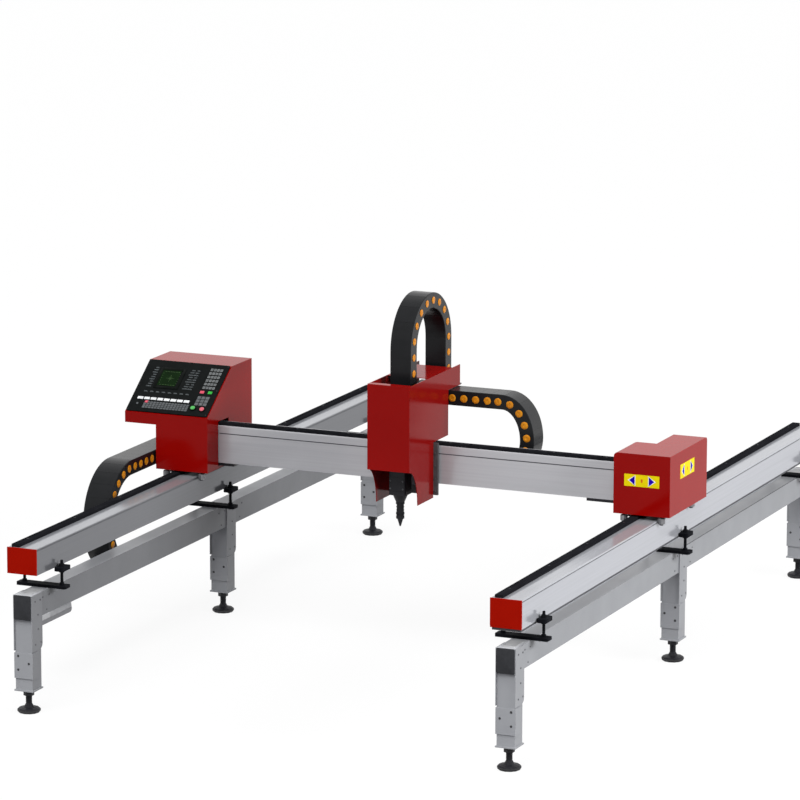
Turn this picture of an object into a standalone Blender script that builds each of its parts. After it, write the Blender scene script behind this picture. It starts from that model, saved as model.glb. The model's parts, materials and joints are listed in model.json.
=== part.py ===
"""Rail gantry laser cutting machine: two floor-standing rails, a travelling gantry and a lifting head.

Metres, +Z up. X runs along the cross beam, Y along the rails with the operator's side at -Y.
The origin lies on the floor under the middle of the machine.
"""
import math

import bmesh
import bpy
from mathutils import Matrix, Vector

# Overall layout
RAIL_SPAN = 2.100
RAIL_LENGTH = 3.560
RAIL_BASE_Z = 0.582
GANTRY_REST_Y = -0.190
HEAD_REST_FROM_RAIL = 1.035

# Clearances
SEAT = 0.0003
RUNNING = 0.0006

# Rail and beam extrusions
RAIL_WIDTH = 0.132
RAIL_HEIGHT = 0.108
RAIL_WALL = 0.006
RAIL_GROOVE_DROP = 0.0075
BEAM_DEPTH = 0.100
BEAM_HEIGHT = 0.164
BEAM_WALL = 0.006
BEAM_GROOVE_DROP = 0.035
GROOVE_WIDTH = 0.003
GROOVE_DEPTH = 0.002
EDGE_ROUND = 0.005
RAIL_CAP_THICKNESS = 0.006
BEAM_END_PAST_LEFT_RAIL = 0.100
BEAM_END_PAST_RIGHT_RAIL = 0.060

# Racks
RACK_WIDTH = 0.034
RACK_HEIGHT = 0.012
RAIL_RACK_INSET = 0.016
BEAM_RACK_INSET = 0.003
RACK_END_GAP = 0.004

# Under-frames, their end plugs and the rail clamps bolted on them
TUBE_WIDTH = 0.076
TUBE_HEIGHT = 0.100
TUBE_TOP_Z = 0.494
TUBE_WALL = 0.003
TUBE_SLOT_LENGTH = 0.100
TUBE_SLOT_WIDTH = 0.046
TUBE_SLOT_SETBACK = 0.030
PLUG_DEPTH = 0.020
CLAMP_FROM_ENDS = 0.185
CLAMP_BAR_LENGTH = 0.220
CLAMP_BAR_DEPTH = 0.045
CLAMP_BAR_THICKNESS = 0.012
CLAMP_STUD_SPACING = 0.170
CLAMP_STUD_RADIUS = 0.006
CLAMP_STUD_TOP_Z = 0.610
CLAMP_LUG_REACH = 0.042
CLAMP_LUG_LENGTH = 0.050
CLAMP_LUG_HEIGHT = 0.014
CLAMP_LUG_CENTRE_Z = 0.577
CLAMP_NUT_RADIUS = 0.011
CLAMP_NUT_HEIGHT = 0.009

# Legs and levelling feet
END_LEG_FROM_ENDS = 0.047
MIDDLE_LEG_FROM_FRONT = 1.880
LEG_TUBE_DEPTH = 0.078
LEG_TUBE_WALL = 0.003
LEG_CHEEK_THICKNESS = 0.004
LEG_CHEEK_DEPTH = 0.090
LEG_CHEEK_BOTTOM_Z = 0.262
LEG_CHEEK_ROUND = 0.020
SLEEVE_TOP_Z = 0.254
SLEEVE_BOTTOM_Z = 0.148
SLEEVE_THICKNESS = 0.004
SLEEVE_SIDE_DEPTH = 0.052
LEG_BASE_Z = 0.094
LEG_BASE_THICKNESS = 0.006
LEG_BASE_LIP = 0.005
FOOT_RADIUS = 0.047
FOOT_THICKNESS = 0.018
FOOT_CONE_TOP_Z = 0.038
FOOT_CONE_RADIUS = 0.021
FOOT_STEM_RADIUS = 0.0125
FOOT_STEM_TOP_Z = 0.150
FOOT_NUT_RADIUS = 0.022
FOOT_NUT_HEIGHT = 0.020
FOOT_NUT_GAP = 0.004

# Carriage plates, rollers and pinions
CARRIAGE_PLATE_Z = 0.7245
CARRIAGE_PLATE_THICKNESS = 0.012
CARRIAGE_HALF_WIDTH = 0.106
CARRIAGE_FRONT = 0.105
CARRIAGE_REAR = 0.326
LEFT_TONGUE_REACH = 0.193
RIGHT_TONGUE_REACH = 0.285
ROLLER_RADIUS = 0.016
ROLLER_HEIGHT = 0.026
ROLLER_TOP_Z = 0.704
ROLLER_BORE_RADIUS = 0.0056
ROLLER_CHAMFER = 0.003
ROLLER_SIDES = 10
ROLLER_STUD_RADIUS = 0.005
ROLLER_STUD_HEAD_RADIUS = 0.0085
ROLLER_STUD_HEAD_HEIGHT = 0.004
COVER_TAB_INSET = 0.0035
COVER_TAB_LENGTH = 0.040
COVER_TAB_HEIGHT = 0.040
ROLLER_FRONT = -0.093
ROLLER_REAR = 0.262
PINION_TEETH = 16
PINION_PITCH_RADIUS = 0.015
PINION_ADDENDUM = 0.0015
PINION_DEDENDUM = 0.0019
PINION_WIDTH = 0.009
PINION_LIFT = 0.0017
PINION_SHAFT_RADIUS = 0.005
PINION_SHAFT_REACH = 0.006
PINION_FROM_BEAM = 0.055
MOTOR_WIDTH = 0.060
MOTOR_HEIGHT = 0.110
MOTOR_FLANGE_WIDTH = 0.068
MOTOR_FLANGE_THICKNESS = 0.008
MOTOR_CORNER = 0.008
SHAFT_HOLE_RADIUS = 0.007

# Sheet metal housings
SHEET = 0.003
COVER_BOTTOM_Z = 0.710
COVER_FRONT = 0.110
CABINET_LEFT = 0.272
PEDESTAL_LEFT = 0.125
CABINET_RIGHT = 0.120
CABINET_REAR = 0.339
CABINET_BASE_Z = 0.903
CABINET_LIP_HEIGHT = 0.047
CABINET_TOP_Z = 1.133
CABINET_SLOPE_RUN = 0.247
DRIVE_BOX_HALF = 0.124
DRIVE_BOX_TOP_Z = 0.967
DRIVE_BOX_REAR = 0.334
DRIVE_BOX_NOTCH_X = 0.020
DRIVE_BOX_NOTCH_REAR = 0.117
DRIVE_BOX_ROUND = 0.016
TUNNEL_GAP = 0.003

# Controller on the sloping face
PANEL_THICKNESS = 0.006
PANEL_MARGIN = 0.004
SCREEN_LEFT = 0.0886
SCREEN_RISE = 0.1574
SCREEN_WIDTH = 0.0902
SCREEN_HEIGHT = 0.0953
SCREEN_PROUD = 0.0012
BUTTON_RADIUS = 0.0105
BUTTON_GAP = 0.0008
BUTTON_HEIGHT = 0.0095
BUTTON_FLOOR = 0.0045
BUTTON_TRAVEL = 0.003
START_BUTTON_PLACE = (0.309, 0.044)
STOP_BUTTON_PLACE = (0.353, 0.041)

# Head carriage and cover
HEAD_COVER_HALF = 0.0955
HEAD_COVER_FRONT = 0.277
HEAD_COVER_FRONT_BOTTOM_Z = 0.835
HEAD_COVER_TOP_Z = 1.200
HEAD_COVER_TIP_Z = 0.678
HEAD_COVER_CUT_RUN = 0.092
HEAD_COVER_STEP_Z = 0.917
HEAD_COVER_UPPER_REAR = 0.140
HEAD_COVER_FLAP_REAR = 0.268
HEAD_COVER_FLAP_Z = 1.112
HEAD_COVER_LOWER_REAR = 0.020
HEAD_COVER_LIP = 0.032
HEAD_COVER_OPENING_END = 0.070
HEAD_COVER_ROOF_END = 0.190
HEAD_PLATE_HALF = 0.115
HEAD_PLATE_THICKNESS = 0.012
HEAD_PLATE_BOTTOM_Z = 0.690
SADDLE_Z = 0.926
SADDLE_THICKNESS = 0.010
SADDLE_REAR = 0.139
LIFT_MOUNT_HALF = 0.046
LIFT_MOUNT_TOP_Z = 1.000
LIFT_MOUNT_REACH = 0.030
LIFT_MOUNT_THICKNESS = 0.006
LIFT_MOTOR_WIDTH = 0.056
LIFT_MOTOR_HEIGHT = 0.080

# Lift slide, screw and cutting head
LIFT_PLATE_HALF = 0.050
LIFT_PLATE_THICKNESS = 0.012
LIFT_PLATE_BOTTOM_Z = 0.735
LIFT_PLATE_TOP_Z = 0.930
LIFT_GAP = 0.020
LIFT_RUNNER_WIDTH = 0.018
LIFT_RUNNER_SPACING = 0.070
LIFT_SCREW_RADIUS = 0.006
LIFT_SCREW_BOTTOM_Z = 0.745
LIFT_NUT_HALF = 0.013
LIFT_NUT_BOTTOM_Z = 0.835
LIFT_NUT_HEIGHT = 0.030
HEAD_FROM_BEAM = 0.149
HEAD_BODY_WIDTH = 0.076
HEAD_BODY_DEPTH = 0.080
HEAD_BODY_BOTTOM_Z = 0.713
HEAD_BODY_TOP_Z = 0.960
HEAD_BODY_CORNER = 0.010
HEAD_BLOCK_WIDTH = 0.066
HEAD_BLOCK_REAR = 0.052
HEAD_BLOCK_TOP_Z = 1.020
HEAD_TAPER_BOTTOM_Z = 0.675
HEAD_NECK_RADIUS = 0.0165
HEAD_NECK_BOTTOM_Z = 0.622
HEAD_ARM_HALF = 0.030
HEAD_ARM_BOTTOM_Z = 0.785
HEAD_ARM_TOP_Z = 0.900
NOZZLE_COLLAR_RADIUS = 0.0175
NOZZLE_COLLAR_Z = 0.608
NOZZLE_TIP_Z = 0.574
NOZZLE_TIP_RADIUS = 0.003
NOZZLE_BORE_RADIUS = 0.0012

# Drag chains
CHAIN_WIDTH = 0.110
CHAIN_HEIGHT = 0.064
CHAIN_SKIN = 0.008
CHAIN_NOTCH = 0.003
CHAIN_PITCH = 0.056
SIDE_CHAIN_RADIUS = 0.210
SIDE_CHAIN_TOP_Z = 0.758
SIDE_CHAIN_FROM_RAIL = 0.190
SIDE_CHAIN_BEND_FROM_BEAM = 0.324
SIDE_CHAIN_END_FROM_BEAM = 0.328
SIDE_CHAIN_LOWER_LENGTH = 0.800
BEAM_CHAIN_RADIUS = 0.160
BEAM_CHAIN_TOP_Z = 1.077
BEAM_CHAIN_FROM_BEAM = 0.205
BEAM_CHAIN_BEND_FROM_HEAD = 0.290
BEAM_CHAIN_END_FROM_HEAD = 0.085
BEAM_CHAIN_LOWER_LENGTH = 0.370
ARCH_CHAIN_WIDTH = 0.090
ARCH_CHAIN_HEIGHT = 0.052
ARCH_CHAIN_RADIUS = 0.190
ARCH_CHAIN_CENTRE_Z = 1.314
ARCH_CHAIN_PITCH = 0.067
ARCH_FRONT_FROM_BEAM = 0.118

# Chain trays and the shelf that joins both upper chains
TRAY_SIDE_GAP = 0.005
TRAY_WALL_RISE = 0.030
SIDE_TRAY_FRONT = 0.490
SIDE_TRAY_LENGTH = 2.370
SIDE_TRAY_ARM_SPACING = 1.000
SIDE_TRAY_ARM_WIDTH = 0.040
SIDE_TRAY_ARM_ABOVE_TUBE_FOOT = 0.006
SIDE_TRAY_ARM_FLANGE = 0.034
BEAM_TRAY_FROM_RAIL = 0.540
BEAM_TRAY_END_GAP = 0.016
BEAM_TRAY_FLANGE = 0.060
SHELF_REAR = 0.292

# Derived places
LEFT_RAIL_X = -(RAIL_SPAN + DRIVE_BOX_HALF - CABINET_LEFT) / 2
RIGHT_RAIL_X = LEFT_RAIL_X + RAIL_SPAN
FRONT_Y = -RAIL_LENGTH / 2
REAR_Y = RAIL_LENGTH / 2
RAIL_TOP_Z = RAIL_BASE_Z + RAIL_HEIGHT
TUBE_BOTTOM_Z = TUBE_TOP_Z - TUBE_HEIGHT
BEAM_FRONT_Y = GANTRY_REST_Y
BEAM_REAR_Y = BEAM_FRONT_Y + BEAM_DEPTH
BEAM_BASE_Z = CARRIAGE_PLATE_Z + CARRIAGE_PLATE_THICKNESS + SEAT
BEAM_TOP_Z = BEAM_BASE_Z + BEAM_HEIGHT
HEAD_X = LEFT_RAIL_X + HEAD_REST_FROM_RAIL
HEAD_Y = BEAM_FRONT_Y - HEAD_FROM_BEAM
PINION_RADIUS = PINION_PITCH_RADIUS + PINION_ADDENDUM
PINION_SEAT = PINION_RADIUS + SEAT
SLOPE_RISE = CABINET_TOP_Z - CABINET_BASE_Z - CABINET_LIP_HEIGHT
SLOPE_ANGLE = math.atan2(SLOPE_RISE, CABINET_SLOPE_RUN)
SLOPE_LENGTH = math.hypot(SLOPE_RISE, CABINET_SLOPE_RUN)
SLOPE_FOOT = Vector((LEFT_RAIL_X - CABINET_LEFT, BEAM_FRONT_Y - COVER_FRONT,
                     CABINET_BASE_Z + CABINET_LIP_HEIGHT))
CABINET_WIDTH = CABINET_LEFT + CABINET_RIGHT
HEAD_PLATE_Y = BEAM_FRONT_Y - HEAD_COVER_LOWER_REAR + SEAT
LIFT_PLATE_Y = HEAD_PLATE_Y - LIFT_GAP
SHELF_Z = BEAM_CHAIN_TOP_Z + CHAIN_HEIGHT / 2 + SEAT
ORIGIN = Vector((0.0, 0.0, 0.0))


def start_clean():
    """Remove the start-up objects and make one collection for the machine."""
    for item in list(bpy.data.objects):
        bpy.data.objects.remove(item, do_unlink=True)
    collection = bpy.data.collections.new("laser_cutting_machine")
    bpy.context.scene.collection.children.link(collection)
    return collection


MACHINE = start_clean()


def finish(name, colour, roughness, metallic=0.0):
    """Principled material of one plain finish."""
    material = bpy.data.materials.new(name)
    material.use_nodes = True
    shader = material.node_tree.nodes["Principled BSDF"]
    shader.inputs["Base Color"].default_value = (*colour, 1.0)
    shader.inputs["Roughness"].default_value = roughness
    shader.inputs["Metallic"].default_value = metallic
    return material


ALUMINIUM = finish("anodised_aluminium", (0.56, 0.57, 0.60), 0.35, 0.9)
STEEL = finish("painted_grey_steel", (0.42, 0.43, 0.46), 0.45, 0.3)
BLACK_STEEL = finish("black_steel", (0.02, 0.02, 0.025), 0.45, 0.4)
RED_SHEET = finish("red_powder_coat", (0.33, 0.010, 0.006), 0.35)
CHAIN_PLASTIC = finish("chain_plastic", (0.018, 0.019, 0.022), 0.5)
PANEL_BLACK = finish("panel_black", (0.012, 0.014, 0.014), 0.4)
SCREEN_GREEN = finish("screen_green", (0.010, 0.060, 0.012), 0.2)
BUTTON_GREEN = finish("button_green", (0.05, 0.45, 0.10), 0.35)
BUTTON_RED = finish("button_red", (0.75, 0.06, 0.10), 0.35)
BRIGHT_STEEL = finish("bright_steel", (0.62, 0.62, 0.64), 0.25, 1.0)


def as_mesh(work, name="solid"):
    """Turn a bmesh into mesh data with its faces pointing out."""
    bmesh.ops.recalc_face_normals(work, faces=work.faces[:])
    mesh = bpy.data.meshes.new(name)
    work.to_mesh(mesh)
    work.free()
    return mesh


def block(low, high):
    """Box between two corners."""
    work = bmesh.new()
    low, high = Vector(low), Vector(high)
    place = Matrix.Translation((low + high) / 2) @ Matrix.Diagonal((high - low).to_4d())
    bmesh.ops.create_cube(work, size=1.0, matrix=place)
    return as_mesh(work)


def rod(axis, centre, radius, start, end, sides=16, end_radius=None):
    """Cylinder or cone along an axis; centre gives the two other coordinates."""
    work = bmesh.new()
    turn = {"x": Matrix.Rotation(math.pi / 2, 4, "Y"), "y": Matrix.Rotation(-math.pi / 2, 4, "X")}
    middle = list(centre)
    middle.insert("xyz".index(axis), (start + end) / 2)
    place = Matrix.Translation(middle) @ turn.get(axis, Matrix.Identity(4))
    last = radius if end_radius is None else end_radius
    bmesh.ops.create_cone(work, cap_ends=True, segments=sides, radius1=radius, radius2=last,
                          depth=end - start, matrix=place)
    return as_mesh(work)


def prism(axis, outline, start, end):
    """Closed outline extruded along an axis; its points give the two other coordinates in order."""
    work = bmesh.new()
    index = "xyz".index(axis)
    corners = []
    for point in outline:
        place = list(point)
        place.insert(index, start)
        corners.append(work.verts.new(place))
    face = work.faces.new(corners)
    moved = bmesh.ops.extrude_face_region(work, geom=[face])["geom"]
    shift = Vector((0.0, 0.0, 0.0))
    shift[index] = end - start
    far = [item for item in moved if isinstance(item, bmesh.types.BMVert)]
    bmesh.ops.translate(work, vec=shift, verts=far)
    return as_mesh(work)


def turned(centre, profile, sides=16):
    """Solid turned about a vertical axis from (radius, z) points that start and end on the axis."""
    work = bmesh.new()
    chain = [work.verts.new((centre[0] + radius, centre[1], z)) for radius, z in profile]
    edges = [work.edges.new(pair) for pair in zip(chain, chain[1:])]
    bmesh.ops.spin(work, geom=chain + edges, cent=(centre[0], centre[1], 0.0), axis=(0.0, 0.0, 1.0),
                   angle=2 * math.pi, steps=sides, use_merge=True)
    bmesh.ops.remove_doubles(work, verts=work.verts[:], dist=0.00001)
    return as_mesh(work)


def carve(base, joins=(), cuts=()):
    """Mesh of the base with other solids joined on and then cut away."""
    work = bpy.data.objects.new("carve", base)
    MACHINE.objects.link(work)
    helpers = []
    for operation, solids in (("UNION", joins), ("DIFFERENCE", cuts)):
        for solid in solids:
            helper = bpy.data.objects.new("helper", solid)
            MACHINE.objects.link(helper)
            helpers.append(helper)
            modifier = work.modifiers.new(operation.lower(), "BOOLEAN")
            modifier.operation = operation
            modifier.solver = "EXACT"
            modifier.object = helper
    graph = bpy.context.evaluated_depsgraph_get()
    result = bpy.data.meshes.new_from_object(work.evaluated_get(graph))
    for item in [work] + helpers:
        bpy.data.objects.remove(item, do_unlink=True)
    return result


def bevelled(mesh, width, chosen, segments=2):
    """Round the edges for which chosen(middle, direction) is true."""
    work = bmesh.new()
    work.from_mesh(mesh)
    edges = []
    for edge in work.edges:
        first, second = edge.verts[0].co, edge.verts[1].co
        if chosen((first + second) / 2, (second - first).normalized()):
            edges.append(edge)
    bmesh.ops.bevel(work, geom=edges, offset=width, segments=segments, profile=0.5, affect="EDGES")
    return as_mesh(work)


def rounded_rectangle(x0, x1, y0, y1, radius, steps=3):
    """Outline of a rectangle with four round corners."""
    points = []
    corners = [(x1 - radius, y1 - radius, 0), (x0 + radius, y1 - radius, 90),
               (x0 + radius, y0 + radius, 180), (x1 - radius, y0 + radius, 270)]
    for cx, cy, start in corners:
        for step in range(steps + 1):
            angle = math.radians(start + 90 * step / steps)
            points.append((cx + radius * math.cos(angle), cy + radius * math.sin(angle)))
    return points


def pivot_empty(name, place, parent=None):
    """Empty that stands on a joint and carries the pieces that move with it."""
    empty = bpy.data.objects.new(name, None)
    MACHINE.objects.link(empty)
    empty.parent = parent
    empty.location = Vector(place) - (world_place(parent) if parent else ORIGIN)
    return empty


def world_place(item):
    """World position of an unrotated object with unrotated parents."""
    place = Vector(item.location)
    while item.parent:
        item = item.parent
        place += item.location
    return place


def add(name, mesh, material, pivot=ORIGIN, parent=None, smooth=30.0):
    """One named piece, drawn in world coordinates, with its own origin at the pivot."""
    mesh = mesh.copy()
    mesh.name = name
    mesh.transform(Matrix.Translation(-Vector(pivot)))
    mesh.materials.clear()
    mesh.materials.append(material)
    mesh.shade_smooth()
    mesh.set_sharp_from_angle(angle=math.radians(smooth))
    piece = bpy.data.objects.new(name, mesh)
    MACHINE.objects.link(piece)
    piece.parent = parent
    piece.location = Vector(pivot) - (world_place(parent) if parent else ORIGIN)
    return piece


GANTRY = pivot_empty("gantry_travel", (0.0, GANTRY_REST_Y, RAIL_TOP_Z))
HEAD = pivot_empty("head_travel", (HEAD_X, GANTRY_REST_Y, BEAM_TOP_Z), GANTRY)
LIFT = pivot_empty("head_lift", (HEAD_X, HEAD_Y, LIFT_NUT_BOTTOM_Z), HEAD)


def extrusion_outline(width, height, groove_drop):
    """Mirrored outline of a profile with round top edges and a groove in each side, from (0, 0) at its foot."""
    half = width / 2
    groove = height - groove_drop
    right = [(half, 0.0), (half, groove - GROOVE_WIDTH / 2), (half - GROOVE_DEPTH, groove - GROOVE_WIDTH / 2),
             (half - GROOVE_DEPTH, groove + GROOVE_WIDTH / 2), (half, groove + GROOVE_WIDTH / 2)]
    reach = min(EDGE_ROUND, groove_drop - GROOVE_WIDTH)
    for step in range(4):
        angle = math.radians(30 * step)
        right.append((half - reach + reach * math.cos(angle), height - reach + reach * math.sin(angle)))
    return right + [(-x, z) for x, z in reversed(right)]


def make_rail(side, x):
    """Aluminium rail with a red cap plate on each end and the rack along its top."""
    outline = [(x + px, RAIL_BASE_Z + pz)
               for px, pz in extrusion_outline(RAIL_WIDTH, RAIL_HEIGHT, RAIL_GROOVE_DROP)]
    start = FRONT_Y + RAIL_CAP_THICKNESS + SEAT
    end = REAR_Y - RAIL_CAP_THICKNESS - SEAT
    inner = RAIL_WIDTH / 2 - RAIL_WALL - GROOVE_DEPTH
    hollow = block((x - inner, start - RAIL_WALL, RAIL_BASE_Z + RAIL_WALL),
                   (x + inner, end + RAIL_WALL, RAIL_TOP_Z - RAIL_WALL))
    rail = carve(prism("y", outline, start, end), cuts=[hollow])
    add(f"{side}_rail", rail, ALUMINIUM, (x, FRONT_Y, RAIL_BASE_Z))
    half = RAIL_WIDTH / 2
    for end_name, y in (("front", FRONT_Y), ("rear", REAR_Y - RAIL_CAP_THICKNESS)):
        cap = block((x - half, y, RAIL_BASE_Z), (x + half, y + RAIL_CAP_THICKNESS, RAIL_TOP_Z))
        add(f"{side}_rail_{end_name}_cap", cap, RED_SHEET, (x, y, RAIL_BASE_Z))
    rack_x = x - half + RAIL_RACK_INSET
    rack = block((rack_x, start + RACK_END_GAP, RAIL_TOP_Z + SEAT),
                 (rack_x + RACK_WIDTH, end - RACK_END_GAP, RAIL_TOP_Z + SEAT + RACK_HEIGHT))
    add(f"{side}_rail_rack", rack, BLACK_STEEL, (rack_x, FRONT_Y, RAIL_TOP_Z))


def clamp_solids(x, y):
    """Cross bar on the under-frame with two studs, whose lugs hold the rail's foot from both sides."""
    half = CLAMP_BAR_LENGTH / 2
    depth = CLAMP_BAR_DEPTH / 2
    bar_top = TUBE_TOP_Z + CLAMP_BAR_THICKNESS
    solids = [block((x - half, y - depth, TUBE_TOP_Z - TUBE_WALL / 2), (x + half, y + depth, bar_top))]
    for side in (-1, 1):
        stud_x = x + side * CLAMP_STUD_SPACING / 2
        near = x + side * (RAIL_WIDTH / 2 + SEAT)
        far = near + side * CLAMP_LUG_REACH
        lug_low = CLAMP_LUG_CENTRE_Z - CLAMP_LUG_HEIGHT / 2
        lug_high = lug_low + CLAMP_LUG_HEIGHT
        lug = block((min(near, far), y - CLAMP_LUG_LENGTH / 2, lug_low),
                    (max(near, far), y + CLAMP_LUG_LENGTH / 2, lug_high))

        def outer_corner(middle, way, edge=far):
            return abs(way.z) > 0.9 and abs(middle.x - edge) < CLAMP_LUG_REACH / 4

        solids.append(bevelled(lug, CLAMP_LUG_REACH / 4, outer_corner, 1))
        stud_low = bar_top - CLAMP_STUD_RADIUS
        solids.append(rod("z", (stud_x, y), CLAMP_STUD_RADIUS, stud_low, CLAMP_STUD_TOP_Z, 6))
        for nut_z in (lug_low - CLAMP_NUT_HEIGHT, lug_high):
            overlap = CLAMP_NUT_HEIGHT / 4
            nut_top = nut_z + CLAMP_NUT_HEIGHT + overlap
            solids.append(rod("z", (stud_x, y), CLAMP_NUT_RADIUS, nut_z - overlap, nut_top, 6))
    return solids


def leg_places():
    """Distance of each leg from the machine's front, with its name."""
    return (("front", END_LEG_FROM_ENDS), ("middle", MIDDLE_LEG_FROM_FRONT),
            ("rear", RAIL_LENGTH - END_LEG_FROM_ENDS))


def clamp_places():
    """Distance of each rail clamp from the machine's front."""
    return (CLAMP_FROM_ENDS, RAIL_LENGTH / 2, RAIL_LENGTH - CLAMP_FROM_ENDS)


def make_under_frame(side, x):
    """Tube below a rail, with plugged ends, two access slots in its top and three rail clamps bolted on."""
    half = TUBE_WIDTH / 2
    tube = block((x - half, FRONT_Y, TUBE_BOTTOM_Z), (x + half, REAR_Y, TUBE_TOP_Z))
    hollow = block((x - half + TUBE_WALL, FRONT_Y + PLUG_DEPTH, TUBE_BOTTOM_Z + TUBE_WALL),
                   (x + half - TUBE_WALL, REAR_Y - PLUG_DEPTH, TUBE_TOP_Z - TUBE_WALL))
    cuts = [hollow]
    slot_half = TUBE_SLOT_WIDTH / 2
    for end, way in ((FRONT_Y, 1), (REAR_Y, -1)):
        near = end + way * TUBE_SLOT_SETBACK
        far = near + way * TUBE_SLOT_LENGTH
        outline = rounded_rectangle(x - slot_half, x + slot_half, min(near, far), max(near, far),
                                    slot_half / 3, 2)
        cuts.append(prism("z", outline, TUBE_TOP_Z - PLUG_DEPTH, TUBE_TOP_Z + PLUG_DEPTH))
    frame = carve(tube, cuts=cuts)
    clamps = []
    for distance in clamp_places():
        clamps += clamp_solids(x, FRONT_Y + distance)
    add(f"{side}_under_frame", carve(frame, joins=clamps), STEEL, (x, FRONT_Y, TUBE_BOTTOM_Z))


def leg_mesh():
    """Leg at the origin: tube, two cheeks that hold the under-frame, a front sleeve and a flanged base."""
    half = TUBE_WIDTH / 2
    depth = LEG_TUBE_DEPTH / 2
    top = TUBE_BOTTOM_Z - SEAT
    tube = block((-half, -depth, LEG_BASE_Z), (half, depth, top))
    cheek_depth = LEG_CHEEK_DEPTH / 2
    joins = []
    for side in (-1, 1):
        near = side * (half + SEAT)
        far = near + side * LEG_CHEEK_THICKNESS
        outline = [(-cheek_depth, LEG_CHEEK_BOTTOM_Z), (cheek_depth - LEG_CHEEK_ROUND, LEG_CHEEK_BOTTOM_Z)]
        for step in range(1, 4):
            angle = math.radians(-90 + 30 * step)
            outline.append((cheek_depth - LEG_CHEEK_ROUND + LEG_CHEEK_ROUND * math.cos(angle),
                            LEG_CHEEK_BOTTOM_Z + LEG_CHEEK_ROUND + LEG_CHEEK_ROUND * math.sin(angle)))
        outline += [(cheek_depth, TUBE_TOP_Z), (-cheek_depth, TUBE_TOP_Z)]
        joins.append(prism("x", outline, min(near, far), max(near, far)))
        wall = side * (half - LEG_TUBE_WALL)
        weld = block((min(wall, far), -depth / 2, LEG_CHEEK_BOTTOM_Z + LEG_CHEEK_ROUND),
                     (max(wall, far), depth / 2, top - LEG_CHEEK_ROUND))
        joins.append(weld)
    wide = half + SLEEVE_THICKNESS
    front = -depth - SLEEVE_THICKNESS
    joins.append(block((-wide, front, SLEEVE_BOTTOM_Z), (wide, front + SLEEVE_SIDE_DEPTH, SLEEVE_TOP_Z)))
    flange = half + LEG_BASE_LIP
    flange_depth = depth + LEG_BASE_LIP
    joins.append(block((-flange, -flange_depth, LEG_BASE_Z),
                       (flange, flange_depth, LEG_BASE_Z + LEG_BASE_THICKNESS)))
    hollow = block((-half + LEG_TUBE_WALL, -depth + LEG_TUBE_WALL, LEG_BASE_Z + LEG_BASE_THICKNESS),
                   (half - LEG_TUBE_WALL, depth - LEG_TUBE_WALL, top + LEG_TUBE_WALL))
    stem_hole = rod("z", (0.0, 0.0), FOOT_STEM_RADIUS + RUNNING, LEG_BASE_Z - LEG_BASE_THICKNESS,
                    LEG_BASE_Z + 2 * LEG_BASE_THICKNESS, 16)
    return carve(tube, joins=joins, cuts=[hollow, stem_hole])


def foot_mesh():
    """Levelling foot at the origin: round pad, cone, threaded stem and lock nut."""
    nut_top = LEG_BASE_Z - FOOT_NUT_GAP
    nut_low = nut_top - FOOT_NUT_HEIGHT
    rim = FOOT_THICKNESS / 4
    profile = [(0.0, 0.0), (FOOT_RADIUS - rim, 0.0), (FOOT_RADIUS, rim), (FOOT_RADIUS, FOOT_THICKNESS - rim),
               (FOOT_RADIUS - rim, FOOT_THICKNESS), (FOOT_CONE_RADIUS, FOOT_THICKNESS + rim),
               (FOOT_STEM_RADIUS, FOOT_CONE_TOP_Z), (FOOT_STEM_RADIUS, FOOT_STEM_TOP_Z),
               (0.0, FOOT_STEM_TOP_Z)]
    nut = rod("z", (0.0, 0.0), FOOT_NUT_RADIUS, nut_low, nut_top, 6)
    return carve(turned((0.0, 0.0), profile, 12), joins=[nut])


def make_legs():
    """Three legs under each under-frame, each on a levelling foot that turns on its thread."""
    leg, foot = leg_mesh(), foot_mesh()
    for side, x in (("left", LEFT_RAIL_X), ("right", RIGHT_RAIL_X)):
        for place, distance in leg_places():
            spot = Vector((x, FRONT_Y + distance, 0.0))
            for kind, mesh, material in (("leg", leg, STEEL), ("foot", foot, BLACK_STEEL)):
                piece = add(f"{side}_{place}_{kind}", mesh, material)
                piece.location = spot


def tongue_outline(x, reach, way):
    """Carriage plate seen from above: a wide body with a tongue that carries the beam."""
    front = BEAM_FRONT_Y - CARRIAGE_FRONT
    rear = BEAM_FRONT_Y + CARRIAGE_REAR
    body = CARRIAGE_HALF_WIDTH
    points = [(-body, front), (body, front), (body, BEAM_FRONT_Y), (reach, BEAM_FRONT_Y),
              (reach, BEAM_REAR_Y), (body, BEAM_REAR_Y), (body, rear), (-body, rear)]
    return [(x + way * px, py) for px, py in points]


def cover_tabs(x, left_wall, right_wall, rear_left):
    """Upright tabs on the edges of a carriage plate, to which the sheet cover's walls are screwed."""
    edge = CARRIAGE_HALF_WIDTH - COVER_TAB_INSET
    front = BEAM_FRONT_Y - CARRIAGE_FRONT
    rear = BEAM_FRONT_Y + CARRIAGE_REAR - COVER_TAB_LENGTH
    rows = [(-1, front), (1, front), (1, rear)] + ([(-1, rear)] if rear_left else [])
    tabs = []
    for side, y in rows:
        wall = (right_wall if side > 0 else left_wall) - SHEET - SEAT
        near, far = x + side * edge, x + side * wall
        tabs.append(block((min(near, far), y, CARRIAGE_PLATE_Z),
                          (max(near, far), y + COVER_TAB_LENGTH, CARRIAGE_PLATE_Z + COVER_TAB_HEIGHT)))
    return tabs


def roller_places(x):
    """Name, x and y of the four rollers that grip one rail."""
    offset = RAIL_WIDTH / 2 + ROLLER_RADIUS + SEAT
    return [(f"{row}_{column}", x + sign * offset, BEAM_FRONT_Y + distance)
            for row, distance in (("front", ROLLER_FRONT), ("rear", ROLLER_REAR))
            for column, sign in (("outer" if x < 0 else "inner", -1), ("inner" if x < 0 else "outer", 1))]


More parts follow.
